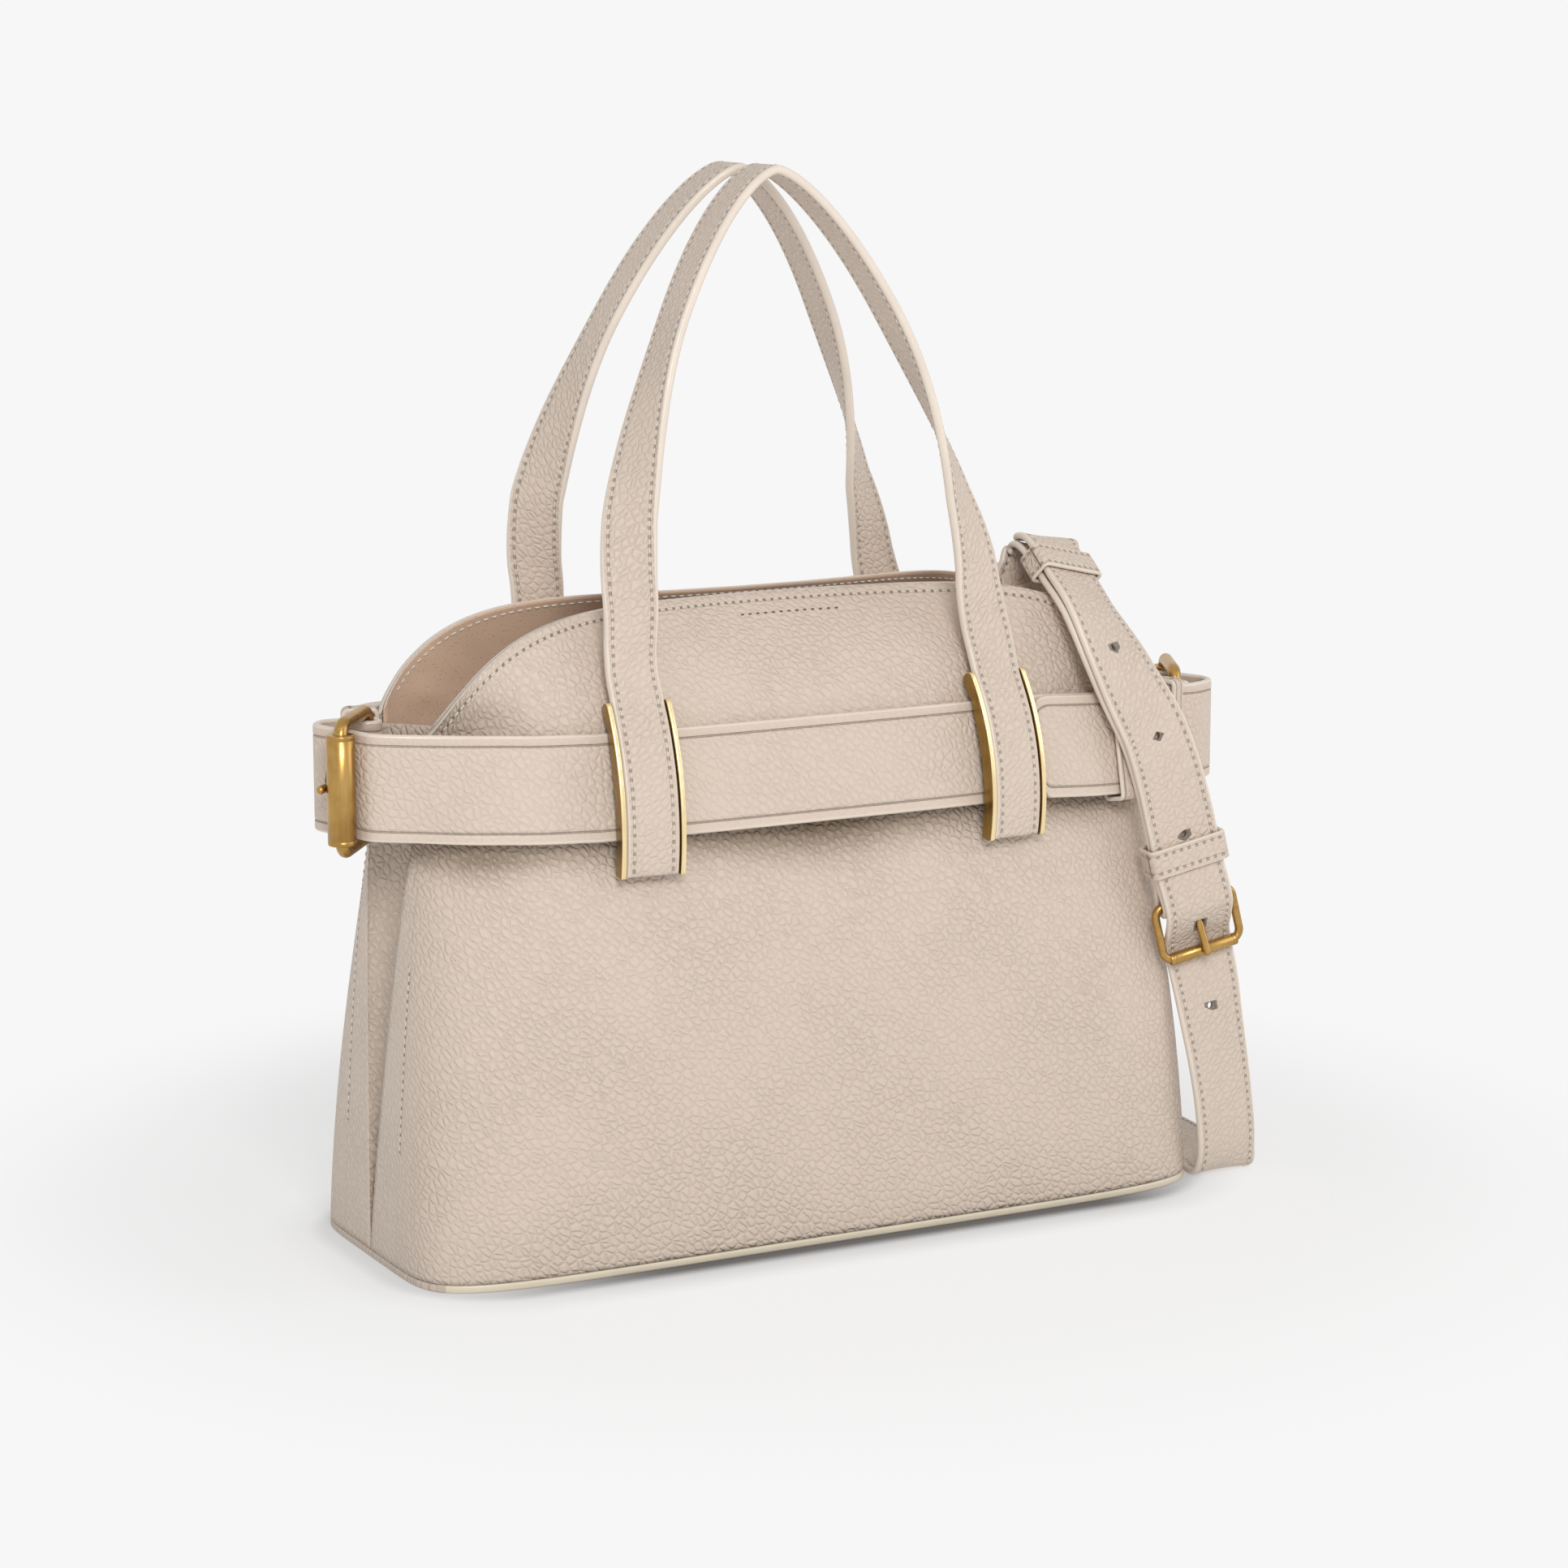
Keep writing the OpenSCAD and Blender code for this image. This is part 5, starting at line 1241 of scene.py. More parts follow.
    def buckle_side(self):
        """Inner piece: from the front hook over the rim and down under the outer one to the buckle."""
        p, w = self.outer_rows()
        q = np.concatenate([p[:1], p, p[-1:]])
        d = unit(q[2:] - q[:-2])
        out = np.cross(d, square_to(w, d))
        back = np.array([1.48, 1.48, 1.2] + [1.06] * 7)[:, None]
        under = p[:10] - self.gap * back * out[:10]
        eye, a, across = self.eye(-5, (4, -1, -18), (0.99, -0.12, 0))
        start = self.fold(eye, a, np.cross(-a, across), self.eye_rod / 2 + SEAT + self.t / 2, 17)[::-1]
        end = self.fold(self.heel, self.down, self.face, self.rod / 2 + SEAT + self.t / 2, 22)
        points = np.concatenate([start, [[112.6, 0.2, 231], [114.6, 2.8, 236.6]], under, end])
        hints = np.concatenate([
            np.tile(across, (len(start), 1)), [[0.95, 0.1, -0.1], self.top_w], w[:10],
            np.tile(self.across, (len(end), 1)),
        ])
        return points, hints

    def ribbon(self, rows, round_tip):
        p, w = rows
        c, hints = spline(p, 8), spline(w, 8)
        width = end_width(self.w, np.minimum(40, lengths(c)) + 0.4, 5.0) if round_tip else self.w
        return Ribbon(c, hints, width, self.t, seam=2.8, groove=0.12)


def rounded_loop(w, h, r, corner=7, side=6):
    """Rounded rectangle as a closed line of points, w wide and h high, with corners of radius r."""
    arcs = []
    for k, (sx, sy) in enumerate([(1, 1), (-1, 1), (-1, -1), (1, -1)]):
        a = np.radians(90 * k + np.linspace(0, 90, corner))
        arcs.append(np.stack([sx * (w / 2 - r) + r * np.cos(a), sy * (h / 2 - r) + r * np.sin(a)], axis=1))
    s = np.linspace(0, 1, side + 2)[1:-1, None]
    line = []
    for arc, after in zip(arcs, arcs[1:] + arcs[:1]):
        line += [arc, arc[-1] + s * (after[0] - arc[-1])]
    return np.concatenate(line)


def keeper(name, origin, along, face, across, room, wide, materials, seam=1.7):
    """Leather loop round straps that run along one direction: a band bent to a rounded rectangle.

    room is the width and the thickness that the loop leaves free.
    """
    thick = 1.6
    loop = rounded_loop(room[0] + thick, room[1] + thick, 1.0 + thick / 2)
    centre = origin + loop[:, :1] * across + loop[:, 1:] * face
    ribbon = Ribbon(centre, np.tile(along, (len(centre), 1)), wide, thick, seam=seam, groove=0.12,
                    edge=0.55, closed=True)
    if np.sum(ribbon.out * (centre - origin)) < 0:
        ribbon.out = -ribbon.out
    return ribbon.build(name, materials), ribbon


# Pieces

def bag_settings(context):
    """The body's surfaces, the sizes of the straps and the finishes."""
    scene = context.scene
    return Body(scene.bag_body), scene.bag_straps, finishes(context)


def sew(name, rows, straps, thread, slot="leather", width=1.0, **settings):
    """Stitches on the bag along the rows, width times as wide as the usual thread."""
    pitch, wide = straps.stitch_pitch / MM, straps.thread / MM * width
    return place(stitch_mesh(name, rows, pitch, wide, thread, **settings), "bag", slot)


class BAG_OT_leather_body(Operator):
    """Front and back panels, side gussets and their lines of stitches"""

    bl_idname = "bag.leather_body"
    bl_label = "Leather body"

    def execute(self, context):
        body, straps, f = bag_settings(context)
        q = np.linspace(-1, 1, 181)
        v = np.concatenate([np.linspace(0, 1, 96), 1 + np.linspace(0, 1, 60)[1:]])
        keep = np.abs(q) < 0.995
        side_inset = body.side_row(v)
        insets = (0, body.leather, body.leather + SEAT + body.lining)
        rows, lining_rows = [], []
        for name, front in (("front", True), ("back", False)):
            outer, inner, lining = (body.panel(q, v, inset, front) for inset in insets)
            shown = (body.side_row_z0, SIDE_ROW_TOP if front else body.belt_z)
            fields, from_rim, from_side = seam_fields(outer, RIM_ROW, side_inset[:, None], shown)
            # Folds and painted shade under the belt, which the leather's finish reads
            fields["PressAndShade"] = body.press_and_shade(outer[..., 0], outer[..., 2], front)
            outer, inner, lining = facing(front, outer, inner, lining)
            skin = sheet_shell(f"{name}_leather", outer, inner, [f["Body leather"], f["Edge paint"]], fields)
            place(skin, "bag", "leather", f"{name}_panel")
            n = normals(outer)
            n = n * np.sign(np.sum(n * (outer - outer.mean(axis=(0, 1))), axis=-1).mean())
            rim = lengths(outer[-1])[keep]
            rows.append(line_on(outer, n, from_rim, RIM_ROW, keep) + (rim[0] + 2, None, rim))
            lining_rows.append(line_on(lining, -n, from_rim, LINING_ROW, keep) + (2.0, None))
            for side in (0, 1):
                line = side_line(outer, n, from_side, side_inset, side)
                rows.append(line + (*shown, line[0][:, 2]))
            if front:
                at = line_on(outer, n, from_rim, SHORT_ROW_DOWN, keep)
                ends = [float(np.interp(x, at[0][:, 0], rim)) for x in SHORT_ROW]
                short = [at + (*ends, rim)]
                sew("short_row_stitches", short, straps, f["Brown thread"], width=1.2, fill=0.52)
        sew("panel_stitches", rows, straps, f["Leather thread"])
        sew("rim_inner_stitches", lining_rows, straps, f["Lining thread"], width=1.15)
        self.gussets(body, straps, f)
        return {"FINISHED"}

    def gussets(self, body, straps, f):
        u = np.linspace(-1, 1, 61)
        z = np.linspace(body.foot_z, body.flank_z, 112)
        pucker = 0.35 * np.sin(z / 4.1)[:, None] * bump(u, 0, 0.25) * step(z, 60, 150)[:, None]
        rows = []
        for name, left in (("left", True), ("right", False)):
            sheets = (body.gusset(u, z, inset) + pucker[..., None] * X for inset in (0, body.leather))
            outer, inner = facing(left, *sheets)
            across = lengths(outer, 1)
            across = across - across[:, 30:31]
            fields = {"Off": across * MM, "Along": np.repeat(z[:, None], 61, 1) * MM}
            # Painted shade: dark in the deep fold next to the front edge, a little next to the back edge and
            # under the belt; it also deepens the grain there
            to_front, to_back = across[:, -1:] - across, across - across[:, :1]
            under_belt = bump(z, body.belt_z - 21, 12)[:, None]
            press_and_shade = 0.6 * np.exp(-to_front / 8.0) + 0.2 * np.exp(-to_back / 4.0) + 0.25 * under_belt
            fields["PressAndShade"] = np.clip(press_and_shade, 0, 1)
            skins = [f["Gusset leather"], f["Edge paint"]]
            skin = sheet_shell(f"{name}_gusset_leather", outer, inner, skins, fields)
            place(skin, "bag", "leather", f"{name}_gusset")
            n = normals(outer)
            n = n * (1 if np.mean(n[..., 0] * outer[..., 0]) > 0 else -1)
            rows.append(line_across(outer, n, across, 0) + (body.gusset_z0 + 2, None, z))
        sew("gusset_stitches", rows, straps, f["Leather thread"])


class BAG_OT_lining(Operator):
    """Suede lining of the panels, gussets and floor of the bag"""

    bl_idname = "bag.lining"
    bl_label = "Lining"

    def execute(self, context):
        body, _, f = bag_settings(context)
        q = np.linspace(-1, 1, 121)
        v = np.concatenate([np.linspace(0, 1, 60), 1 + np.linspace(0, 1, 40)[1:]])
        u, z = np.linspace(-1, 1, 41), np.linspace(body.gusset_z0, body.flank_z, 60)
        z0 = body.base_t + body.board_t + 2 * SEAT
        insets = (body.leather + SEAT, body.leather + SEAT + body.lining)
        skins = [f["Suede lining"], f["Edge paint"]]
        sheets = {}
        for name, front in (("front", True), ("back", False)):
            sheets[name] = facing(front, *(body.panel(q, v, i, front, z0) for i in insets))
        for name, left in (("left_gusset", True), ("right_gusset", False)):
            sheets[name] = facing(left, *(body.gusset(u, z, i) for i in insets))
        pieces = [sheet_shell(f"{name}_lining", *sheet, skins) for name, sheet in sheets.items()]
        outline = base_outline(body, insets[1] + SEAT, 160)
        pieces.append(plate("floor_lining", outline, z0, z0 + body.lining, 0.3, skins[:1]))
        for piece in pieces:
            place(piece, "bag", "lining", "lining")
        return {"FINISHED"}


def base_outline(body, inset, count):
    """Superellipse outline of the base, inset from the panels' outer face."""
    a, b = body.base_w / 2 - inset, body.base_d / 2 - inset
    s = 2 * np.pi * (np.arange(count) + 0.5) / count
    p = np.stack([np.cos(s), np.sin(s)], axis=1)
    return (a, b) * np.sign(p) * np.abs(p) ** (2 / BASE_POWER)


def even(outline, count):
    """The closed outline walked again at even steps."""
    p = np.concatenate([outline, outline[:1]])
    s = lengths(p)
    return resample(p, s, np.linspace(0, s[-1], count, endpoint=False))


def plate(name, outline, z0, z1, edge, materials, painted=False):
    """Flat plate with an outline and rounded edges: its rings step in as quarter circles.

    A painted plate shows its second material along the middle of its front and back edges.
    """
    n = 240
    outline = even(outline, n)
    inward = -turn_out(headings(outline, closed=True))
    inward = inward * (1 if np.sum(inward * outline) < 0 else -1)
    a = np.radians(np.linspace(0, 90, 5))
    inside, rise = edge * (1 - np.sin(a)), edge * (1 - np.cos(a))
    flat = 8.0
    insets = np.concatenate([[flat], inside, inside[::-1], [flat]])
    heights = np.concatenate([[z0], z0 + rise, z1 - rise[::-1], [z1]])
    p = np.stack([np.column_stack([outline + inward * i, np.full(n, z)]) for i, z in zip(insets, heights)])
    half_x, half_y = outline.max(axis=0)
    paint = painted * (np.abs(outline[:, 1]) > 0.72 * half_y) * (np.abs(outline[:, 0]) < 0.96 * half_x)
    rounded = np.repeat([0] + [1] * (len(insets) - 3) + [0], n)
    which = np.concatenate([rounded * np.tile(paint, len(insets) - 1), [0, 0]])
    return outward(mesh_object(name, p.reshape(-1, 3), rod_faces(len(insets), n), materials, None, which))


class BAG_OT_base(Operator):
    """Base panel with its rounded, painted edge and its stitches, and the finish of the board"""

    bl_idname = "bag.base"
    bl_label = "Base"

    def execute(self, context):
        body, straps, f = bag_settings(context)
        skins = [f["Base leather"], f["Base edge"]]
        base = plate("base_leather", base_outline(body, 0, 400), 0, body.base_t, 0.9, skins, painted=True)
        place(base, "bag", "base_leather", "base_panel")
        line = even(base_outline(body, 6.0, 400), 700)
        p = np.column_stack([np.concatenate([line, line[:1]]), np.full(701, 0.1)])
        row = (p, np.tile(-Z, (701, 1)), 0.5, None)
        sew("base_stitches", [row], straps, f["Leather thread"], "base_leather", 0.8)
        dress(("base_board",), f["Board"])
        return {"FINISHED"}


def dress(names, finish):
    """Gives solids that are shown as they are their finish."""
    for name in names:
        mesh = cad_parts[name].data
        mesh.materials.clear()
        mesh.materials.append(finish)


def prong_cutters(origin, run, out, tilt, start, stop, prong):
    """Rods that clear the prong's way through a strap as it lifts by 5 degrees."""
    tools = []
    for lift in (0, 2.5, 5):
        a = tilt + math.radians(lift)
        d = math.cos(a) * run + math.sin(a) * out
        tools.append(cylinder_cutter(origin + start * d, origin + stop * d, prong / 2 + 0.5 + 0.013 * lift))
    return tools


class BAG_OT_belts(Operator):
    """Both belts, threaded through each other's roller buckles, and their keepers"""

    bl_idname = "bag.belts"
    bl_label = "Belts and keepers"

    def execute(self, context):
        body, straps, f = bag_settings(context)
        belts = Belts(body, straps)
        skins = [f["Belt leather"], f["Edge paint"]]
        for which, prong_side, slot_side in (("front", "left", "right"), ("back", "right", "left")):
            belt = belts.ribbon(which).build(f"{which}_belt_leather", skins)
            o, r, out = belts.bar_frame(prong_side)
            reach = belts.buckle
            tools = prong_cutters(o, r, out, belts.tilt, reach - 20, reach - 4, belts.prong)
            o, r, out = belts.bar_frame(slot_side)
            tools.append(box_cutter(o + 1.9 * r, r, out, Z, (15, 14, 5.6)))
            place(cut(belt, tools), "bag", "leather", f"{which}_belt")
        for name, side in (("front_tip_keeper", -1), ("back_tip_keeper", 1)):
            self.tip_keeper(belts, name, side, skins)
        for side, back, x in (("right", 12, -12), ("left", 12.5, 0)):
            a, face = belts.arrive[side], turn_out(belts.arrive[side])
            p = belts.heel[side] - back * a + (belts.layer / 2 + 0.4) * face
            origin = np.array([*p, float(belts.middle(belts.heel[side][0] + x))])
            room = (belts.w + 1.2, 3 * belts.t + 8 * SEAT)
            piece, _ = keeper(f"{side}_buckle_keeper_loop", origin, np.array([*a, 0.0]),
                              np.array([*face, 0.0]), Z, room, 7, skins)
            place(piece, "bag", "leather", f"{side}_buckle_keeper")
        return {"FINISHED"}

    def tip_keeper(self, belts, name, side, skins):
        """Keeper round a belt's tip and the other belt under it; side is -1 at the front."""
        near = belts.on_body(side * -119, side, 0.5)
        further, lower = (3, 0.2) if side < 0 else (0, 0)
        far = np.array([side * -(belts.end_x + further), side * (belts.end_y + belts.layer / 2 - lower)])
        far = near + 0.8 * (far - near)
        d, mid = unit(far - near), (near + far) / 2
        lean = float(belts.lean(np.float64(124)))
        flat = -np.array([*turn_out(d), 0])
        face = math.cos(lean) * flat - math.sin(lean) * Z
        up = math.sin(lean) * flat + math.cos(lean) * Z
        origin = np.array([*mid, float(belts.middle(side * -123.0))])
        room = (belts.w + 2.2, 2 * belts.t + 2.6)
        piece, _ = keeper(name + "_loop", origin, np.array([*d, 0]), face, up, room, 13, skins)
        place(piece, "bag", "leather", name)


class BAG_OT_handles(Operator):
    """Both handle straps, which bend at the top of their brackets, with stitches on both faces"""

    bl_idname = "bag.handles"
    bl_label = "Handles"

    def execute(self, context):
        body, straps, f = bag_settings(context)
        pitch, thread = straps.stitch_pitch / MM, straps.thread / MM
        for which, back in (("front", False), ("back", True)):
            path = HandlePath(body, straps, back)
            ribbon = path.ribbon()
            strap = ribbon.build(f"{which}_handle_strap", [f["Strap leather"], f["Edge paint"]])
            stitches = stitch_mesh(f"{which}_handle_stitches", ribbon.rows(), pitch, thread,
                                   f["Leather thread"], skip=4.0)
            for piece in (strap, stitches):
                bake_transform(piece)
            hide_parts(f"{which}_handle", f"{which}_left_tab", f"{which}_right_tab")
        return {"FINISHED"}


class BAG_OT_shoulder_strap(Operator):
    """Both pieces of the shoulder strap with punched holes, stitches and keepers"""

    bl_idname = "bag.shoulder_strap"
    bl_label = "Shoulder strap"

    def execute(self, context):
        _, straps, f = bag_settings(context)
        s = ShoulderStrap(straps)
        skins, thread = [f["Strap leather"], f["Edge paint"]], f["Leather thread"]
        inner = s.ribbon(s.buckle_side(), False)
        piece = inner.build("strap_buckle_side_leather", skins)
        slot = box_cutter(s.heel + 1.4 * s.down, s.down, s.face, -s.across, (12, 11, 4.8))
        place(cut(piece, [slot]), "bag", "leather", "strap_buckle_side")
        outer = s.ribbon(s.hole_side(), True)
        piece = outer.build("strap_hole_side_leather", skins)
        tools = prong_cutters(s.heel, s.down, s.face, s.tilt, 5, 16, s.prong)
        for where in STRAP_HOLES:
            p, n = (resample(v, outer.s, [where])[0] for v in (outer.centre, outer.out))
            tools.append(cylinder_cutter(p - 2.4 * n, p + 2.4 * n, 1.45))
        place(cut(piece, tools), "bag", "leather", "strap_hole_side")
        sew("strap_stitches", inner.rows() + outer.rows(), straps, thread, skip=5.0)
        piece, loop = keeper("strap_fixed_keeper_loop", s.at(-18.5, s.gap / 2), s.down, s.face, -s.across,
                             (s.w + 1, 3 * s.t + 6 * SEAT), 11, skins, seam=2.2)
        place(piece, "bag", "leather", "strap_fixed_keeper")
        sew("fixed_keeper_stitches", [loop.row(side, 1, 0.5, None) for side in (-1, 1)], straps, thread)
        a, b = np.array([116, -10.5, 242]), np.array([117.5, -36, 221.5])
        d = unit(b - a)
        w = unit(s.top_w - d * (d @ s.top_w))
        face = np.cross(d, w)
        piece, _ = keeper("strap_sliding_keeper_loop", a + 10.5 * d - (s.gap / 2 + 0.4) * face, d, face, -w,
                          (s.w + 1.2, 2 * s.t + 8 * SEAT), 11, skins)
        place(piece, "sliding_keeper", "leather", "strap_sliding_keeper")
        return {"FINISHED"}


class BAG_OT_ring_tabs(Operator):
    """Leather tabs that hold the two D rings inside the mouth"""

    bl_idname = "bag.ring_tabs"
    bl_label = "Ring tabs"

    def execute(self, context):
        _, straps, f = bag_settings(context)
        s = ShoulderStrap(straps)
        a, n = unit([-0.52, 0, 0.854]), unit([0.854, 0, 0.52])
        path = s.fold(np.array([s.ring_x, 0, s.ring_z]), a, n, s.eye_rod / 2 + SEAT + s.t / 2, 15)
        path = spline(np.concatenate([[path[0] - 4 * a], path]), 6)
        for name, first in (("right", True), ("left", False)):
            p, hints = facing(first, path, np.tile(Y, (len(path), 1)))
            ribbon = Ribbon(p, hints, 18.0, s.t, seam=2.2, groove=0.12, edge=0.9)
            piece = ribbon.build(f"{name}_ring_tab_leather", [f["Strap leather"], f["Edge paint"]])
            place(piece, "bag", "leather", f"{name}_ring_tab")
            sew(f"{name}_ring_tab_stitches", ribbon.rows(), straps, f["Leather thread"], skip=3.0)
        return {"FINISHED"}


class BAG_OT_brackets(Operator):
    """Four curved brackets: two rounded rails, a web between them and two posts into the bag"""

    bl_idname = "bag.brackets"
    bl_label = "Brackets"

    def execute(self, context):
        body, straps, f = bag_settings(context)
        path, belts = HandlePath(body, straps, False), Belts(body, straps)
        half = path.w / 2 + RAIL_WIDTH + RAIL_PLAY
        parts = [self.rail(path, belts, body, side * (half - RAIL_WIDTH / 2)) for side in (-1, 1)]
        parts.append(self.web(path, belts, body, half))
        parts += [self.post(path, angle, reach) for angle, reach in ((-9, 72.3), (34.5, 72.6))]
        points = np.concatenate([v for v, _, _ in parts])
        faces, which, count = [], [], 0
        for v, part_faces, part_which in parts:
            faces += [[k + count for k in face] for face in part_faces]
            which += part_which
            count += len(v)
        skins = [f["Brass flank with painted shade"], f["Brass edge with painted highlight"]]
        for name, sx, front in (("front_left", -1, True), ("front_right", 1, True),
                                ("back_left", 1, False), ("back_right", -1, False)):
            verts = facing(front, path.at_leg(points, sx))[0]
            piece = outward(mesh_object(f"{name}_bracket_brass", verts, faces, skins, None, which))
            place(piece, "bag", "brass", f"{name}_bracket")
        return {"FINISHED"}

    def clear_of_belt(self, path, belts, body, degrees):
        """Radius at which each ray of the arc leaves the room that the belt needs."""
        c, s = math.cos(BELT_LEAN), math.sin(BELT_LEAN)
        along_y, along_z = np.array([c, -s]), np.array([s, c])
        belt_y = float(body.waist_y(path.leg_x)) + (SEAT + 0.1 + belts.t / 2) + belts.t / 2 + 0.9
        o = np.array([-belt_y, body.belt_z - 1])
        a = np.radians(degrees)
        ray = np.stack([-np.cos(a), np.sin(a)], axis=1)
        start = np.array([path.arc_y, path.arc_z]) - o
        r = -(start @ along_y) / (ray @ along_y)
        up = start @ along_z + r * (ray @ along_z)
        return np.where(np.abs(up) < belts.w / 2 + 1.2, r + 0.05, 0)

    def rail(self, path, belts, body, x):
        """Rail of one side: a rounded bar swept along the arc, cut back where the belt passes."""
        deg = np.linspace(-10.2, 36.5, 150)
        need = np.maximum(self.clear_of_belt(path, belts, body, deg), RAIL_INNER)
        wide = np.max([np.roll(need, k) for k in range(-3, 4)], axis=0)
        inner = np.convolve(np.pad(wide, 3, mode="edge"), np.ones(7) / 7, "valid")
        inner = np.maximum(inner, need)
        from_end = np.radians(np.minimum(deg - deg[0], deg[-1] - deg)) * RAIL_OUTER
        round_r = np.where(deg > 10, 2.6, 1.0)
        dip = round_r - np.sqrt(np.maximum(0, round_r**2 - np.maximum(0, round_r - from_end) ** 2))
        outer = RAIL_OUTER - dip * 0.98
        inner = np.minimum(inner + dip * 0.6, outer - 0.4)
        # Corners of the section: place across, radius and place through, outer two and inner two
        corners = ((0.48, 0.42, -0.42), (-0.48, 0.42, -0.42), (-0.55, 0.35, 0.35), (0.55, 0.35, 0.35))
        t = np.radians(np.linspace(0, 90, 5))
        arcs = [(corner, t + k * np.pi / 2) for k, corner in enumerate(corners)]
        xs = x + np.concatenate([cx + radius * np.cos(a) for (cx, radius, _), a in arcs])
        add = np.concatenate([cz + radius * np.sin(a) for (_, radius, cz), a in arcs])
        m = len(xs)
        outer, inner = outer[:, None], inner[:, None]
        r = np.where(np.arange(m) < m // 2, outer, inner) + add * np.minimum(1, (outer - inner) / 2.0)
        p = path.on_arc(deg[:, None] + 0 * r, r, xs)
        # The outer rounded faces take the brass with the painted highlight, the sides and inner faces the
        # brass with the painted shade
        which = np.tile((np.arange(m) < m // 2 - 1).astype(int), len(deg) - 1).tolist() + [0, 1]
        return p.reshape(-1, 3), rod_faces(len(deg), m), which

    def web(self, path, belts, body, half):
        """Thin curved plate between the rails, behind the strap."""
        deg = np.linspace(-10.0, 36.3, 60)
        need = self.clear_of_belt(path, belts, body, deg)
        r1 = np.full(60, path.outer_r - path.t - RAIL_PLAY)
        r0 = np.minimum(np.maximum(r1 - 1.1, need), r1 - 0.35)
        reach = half - 1.2
        corners = ((r1, -reach), (r1, reach), (r0, reach), (r0, -reach))
        ring = np.stack([path.on_arc(deg, r, x) for r, x in corners], axis=1)
        faces = [face[::-1] for face in rod_faces(60, 4)]
        return ring.reshape(-1, 3), faces, [0] * len(faces)

    def post(self, path, angle, reach):
        """Round post from the web to the leather."""
        top = path.outer_r - path.t - 0.6
        a = np.linspace(0, 2 * np.pi, 20, endpoint=False)
        t = math.radians(angle)
        ray, up = np.array([0, -math.cos(t), math.sin(t)]), np.array([0, math.sin(t), math.cos(t)])
        centre = np.array([0, path.arc_y, path.arc_z])
        ring = 2.2 * (np.cos(a)[:, None] * X + np.sin(a)[:, None] * up)
        p = np.concatenate([centre + ray * reach + ring, centre + ray * top + ring])
        faces = [face[::-1] for face in rod_faces(2, 20)]
        return p, faces, [0] * len(faces)


class BAG_OT_buckles(Operator):
    """Rounded buckle frames and turned rollers of the belts and the shoulder strap"""

    bl_idname = "bag.buckles"
    bl_label = "Buckles"

    def execute(self, context):
        body, straps, f = bag_settings(context)
        belts, s = Belts(body, straps), ShoulderStrap(straps)
        for side in ("left", "right"):
            o, r, _ = belts.bar_frame(side)
            self.buckle(side, o, r, Z, belts, 2.0, 5.0, f)
        self.buckle("strap", s.heel, s.down, s.across, s, 1.2, 4.0, f)
        prongs = [f"{side}_buckle_prong" for side in ("left", "right", "strap")]
        pairs = [f"{what}_{side}" for what in ("hook", "gate", "magnet") for side in ("front", "back")]
        dress(["left_d_ring", "right_d_ring"] + prongs + pairs, f["Aged brass"])
        return {"FINISHED"}

    def buckle(self, which, origin, run, across, sizes, axle, corner, f):
        """Frame as a rod bent to a rounded rectangle, thinner under the roller, and the roller."""
        name, half, reach = which + "_buckle", sizes.frame_half, sizes.buckle
        rod, roller = sizes.rod / 2, sizes.roller / 2
        loop = rounded_loop(reach, 2 * half, corner, corner=9, side=16)
        x, y = loop[:, 0] + reach / 2, loop[:, 1]
        centre = origin + x[:, None] * run + y[:, None] * across
        thin = (x > reach - 0.01) & (np.abs(y) < half - rod - 0.3)
        radius = np.where(thin, axle, rod)
        bar = ring_tube(name + "_brass", centre, radius, f["Aged brass bars"], np.cross(run, across))
        place(bar, "bag", "brass", name + "_frame")
        h = half - rod - 0.4
        end = [(h, axle + 0.06), (h, roller - 0.5), (h - 0.15, roller - 0.15), (h - 0.5, roller),
               (h - 1.6, roller), (h - 1.8, roller - 0.25), (h - 2.0, roller)]
        profile = [(-a, b) for a, b in end] + end[::-1]
        piece = turned(name + "_roller_brass", profile, origin + reach * run, across, f["Aged brass"])
        place(piece, which + "_roller", "brass", name + "_roller")


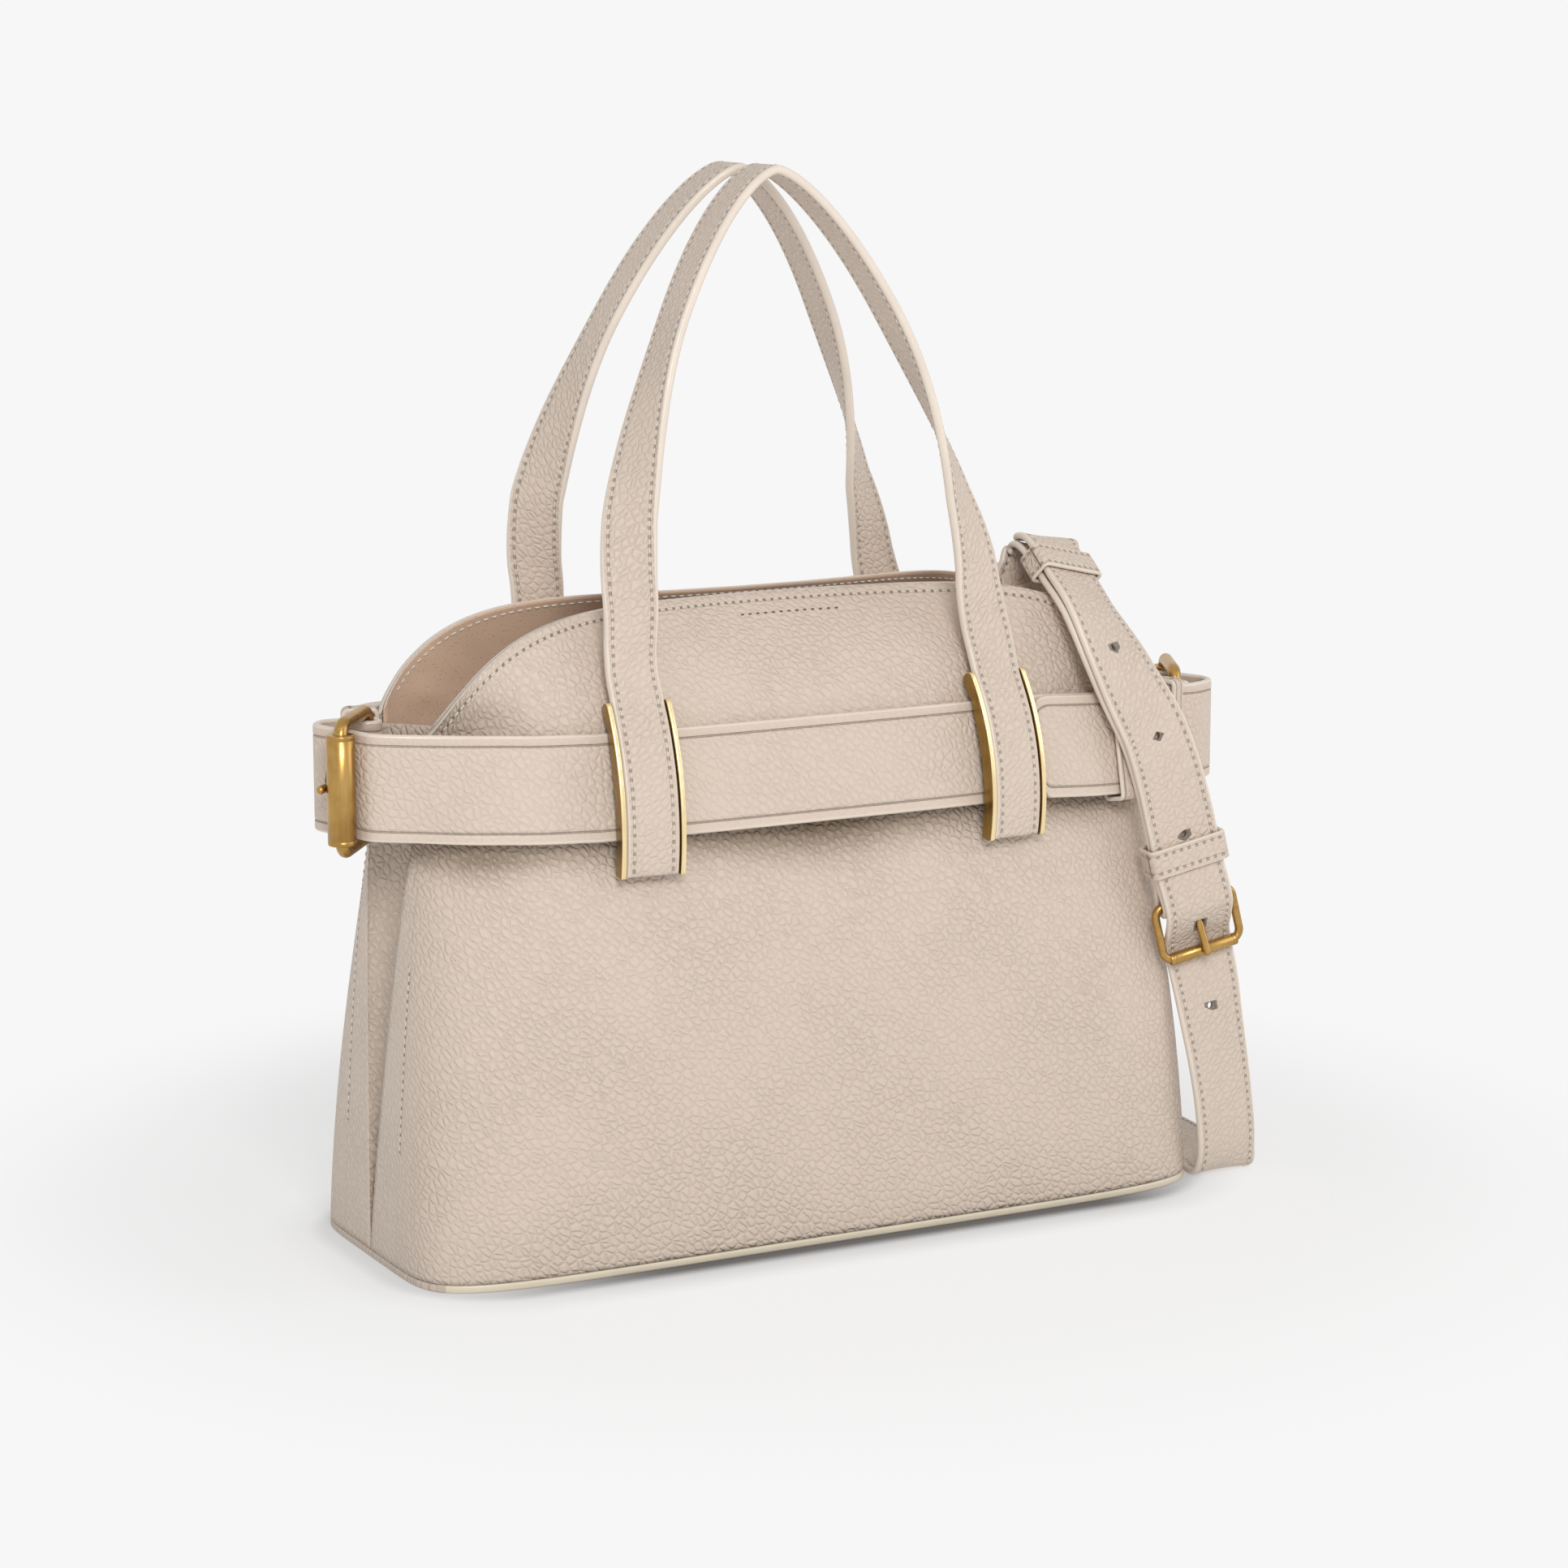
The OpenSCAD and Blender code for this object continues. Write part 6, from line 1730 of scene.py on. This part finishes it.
class BAG_OT_stage(Operator):
    """Pale floor that fades into the background, soft lamps and the camera"""

    bl_idname = "bag.stage"
    bl_label = "Stage and camera"

    def execute(self, context):
        st = context.scene.bag_stage
        self.world(context, st)
        corners = [[-4000, -4000, -0.02], [4000, -4000, -0.02], [4000, 4000, -0.02], [-4000, 4000, -0.02]]
        mesh_object("floor", corners, [[0, 1, 2, 3]], [self.floor_finish(st)])
        self.lamp("key_lamp", (-0.5, -1.55, 1.15), 0.7, st.key)
        self.lamp("fill_lamp", (1.5, -0.9, 0.9), 1.3, st.fill)
        cam = bpy.data.cameras.new("camera")
        cam.lens, cam.sensor_width, cam.clip_end = CAMERA_LENS, 36.0, 30.0
        cam.dof.use_dof = False
        context.scene.camera = self.aim(cam, unit(CAMERA_FORWARD), CAMERA_AT)
        context.scene.view_settings.view_transform = "Standard"
        return {"FINISHED"}

    def lamp(self, name, at, size, power):
        """Round lamp that shines at the middle of the bag."""
        light = bpy.data.lights.new(name, "AREA")
        light.shape, light.size, light.energy = "DISK", size, power
        self.aim(light, unit(np.array([0, 0, 0.15]) - np.array(at)), at)

    def aim(self, data, forward, at):
        """New object of a lamp or camera at a place, level and looking forward."""
        obj = bpy.data.objects.new(data.name, data)
        bpy.context.scene.collection.objects.link(obj)
        right = unit(np.cross(forward, Z))
        m = np.eye(4)
        m[:3] = np.column_stack([right, np.cross(right, forward), -forward, at])
        obj.matrix_world = Matrix(m.tolist())
        return obj

    def seen(self, t):
        """1 for rays from the camera, reflections and glass, 0 for rays that gather light."""
        path = t.add("ShaderNodeLightPath").outputs
        mirrored = t.math("MAXIMUM", path["Is Glossy Ray"], path["Is Transmission Ray"])
        return t.math("MAXIMUM", path["Is Camera Ray"], mirrored)

    def mixed(self, t, factor, first, second, output):
        """Output of a tree that shows the first shader at factor 0 and the second at 1."""
        mix = t.add("ShaderNodeMixShader", {0: factor, 1: first.outputs[0], 2: second.outputs[0]})
        t.add(output, {"Surface": mix.outputs[0]})

    def world(self, context, st):
        """World that shows the backdrop to the camera and to reflections, and lights with its strength."""
        w = bpy.data.worlds.new("Soft room")
        w.use_nodes = True
        t = Tree(w.node_tree)
        w.node_tree.nodes.clear()
        light = t.add("ShaderNodeBackground", {"Color": (1, 1, 1, 1), "Strength": st.world})
        show = t.add("ShaderNodeBackground", {"Color": rgba(st.backdrop), "Strength": 1.0})
        self.mixed(t, self.seen(t), light, show, "ShaderNodeOutputWorld")
        context.scene.world = w

    def floor_finish(self, st):
        """Pale floor: lit near the bag, so that it keeps the shadow, with a painted contact shadow along the
        base, and the backdrop further out.
        """
        m = bpy.data.materials.new("Pale floor")
        m.use_nodes = True
        t = Tree(m.node_tree)
        m.node_tree.nodes.clear()
        where = t.where()
        far = t.vector("DISTANCE", where, (0.02, 0.02, 0.0))
        # The painted contact shadow darkens both the lit floor and its glow
        dark, shade = self.painted_contact_shadow(t, where), rgba((0.03, 0.02, 0.014))
        tone = t.blend(self.seen(t), rgba((st.bounce,) * 3), rgba((st.floor,) * 3))
        lit = t.add("ShaderNodeBsdfDiffuse", {"Color": t.blend(dark, tone, shade)})
        glow = t.add("ShaderNodeEmission", {"Color": t.blend(dark, rgba(st.backdrop), shade)})
        self.mixed(t, t.ramp(far, 0.2, 0.36, 0.6, 1.0), lit, glow, "ShaderNodeOutputMaterial")
        return m

    def painted_contact_shadow(self, t, where):
        """Painted contact shadow: the shade of the narrow gap under the base's rounded edge, painted on the
        floor and fading over the floor before it.

        The base is taken as a box with round corners. The dark is weaker at both ends.
        """
        beyond = t.vector("SUBTRACT", t.vector("ABSOLUTE", where), (0.124, 0.026, 1.0))
        away = t.less(t.vector("LENGTH", t.vector("MAXIMUM", beyond, (0.0, 0.0, 0.0))), 0.036)
        x = t.add("ShaderNodeSeparateXYZ", {0: where}).outputs["X"]
        near = t.mul(t.ramp(away, 0.0115, 0.003), 0.5)
        wide = t.mul(t.ramp(away, 0.03, 0.0), 0.36)
        ends = t.mul(t.ramp(x, -0.17, -0.06, 0.25, 1.0), t.ramp(x, 0.16, 0.105, 0.45, 1.0))
        return t.mul(t.plus(near, wide), ends)


OPERATORS = (
    BAG_OT_stage, BAG_OT_leather_body, BAG_OT_lining, BAG_OT_base, BAG_OT_belts, BAG_OT_handles,
    BAG_OT_shoulder_strap, BAG_OT_ring_tabs, BAG_OT_brackets, BAG_OT_buckles,
)
GROUPS = {
    "bag_body": BagBodySizes, "bag_straps": BagStrapSizes, "bag_finish": BagFinish, "bag_stage": BagStage
}


class BAG_PT_panel(Panel):
    """Sizes, colours and steps of the bag"""

    bl_label = "Top handle bag"
    bl_idname = "BAG_PT_panel"
    bl_space_type = "VIEW_3D"
    bl_region_type = "UI"
    bl_category = "Bag"

    def draw(self, context):
        for key in GROUPS:
            box = self.layout.box()
            group = getattr(context.scene, key)
            for name in group.bl_rna.properties.keys():
                if name not in ("rna_type", "name"):
                    box.prop(group, name)
        for op in OPERATORS:
            self.layout.operator(op.bl_idname)


CLASSES = (*GROUPS.values(), *OPERATORS, BAG_PT_panel)


def register():
    for c in CLASSES:
        bpy.utils.register_class(c)
    for key, group in GROUPS.items():
        setattr(bpy.types.Scene, key, PointerProperty(type=group))


def unregister():
    for key in GROUPS:
        delattr(bpy.types.Scene, key)
    for c in reversed(CLASSES):
        bpy.utils.unregister_class(c)


def main():
    register()
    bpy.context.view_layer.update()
    for op in OPERATORS:
        group, name = op.bl_idname.split(".")
        getattr(getattr(bpy.ops, group), name)()


if __name__ == "__main__":
    main()
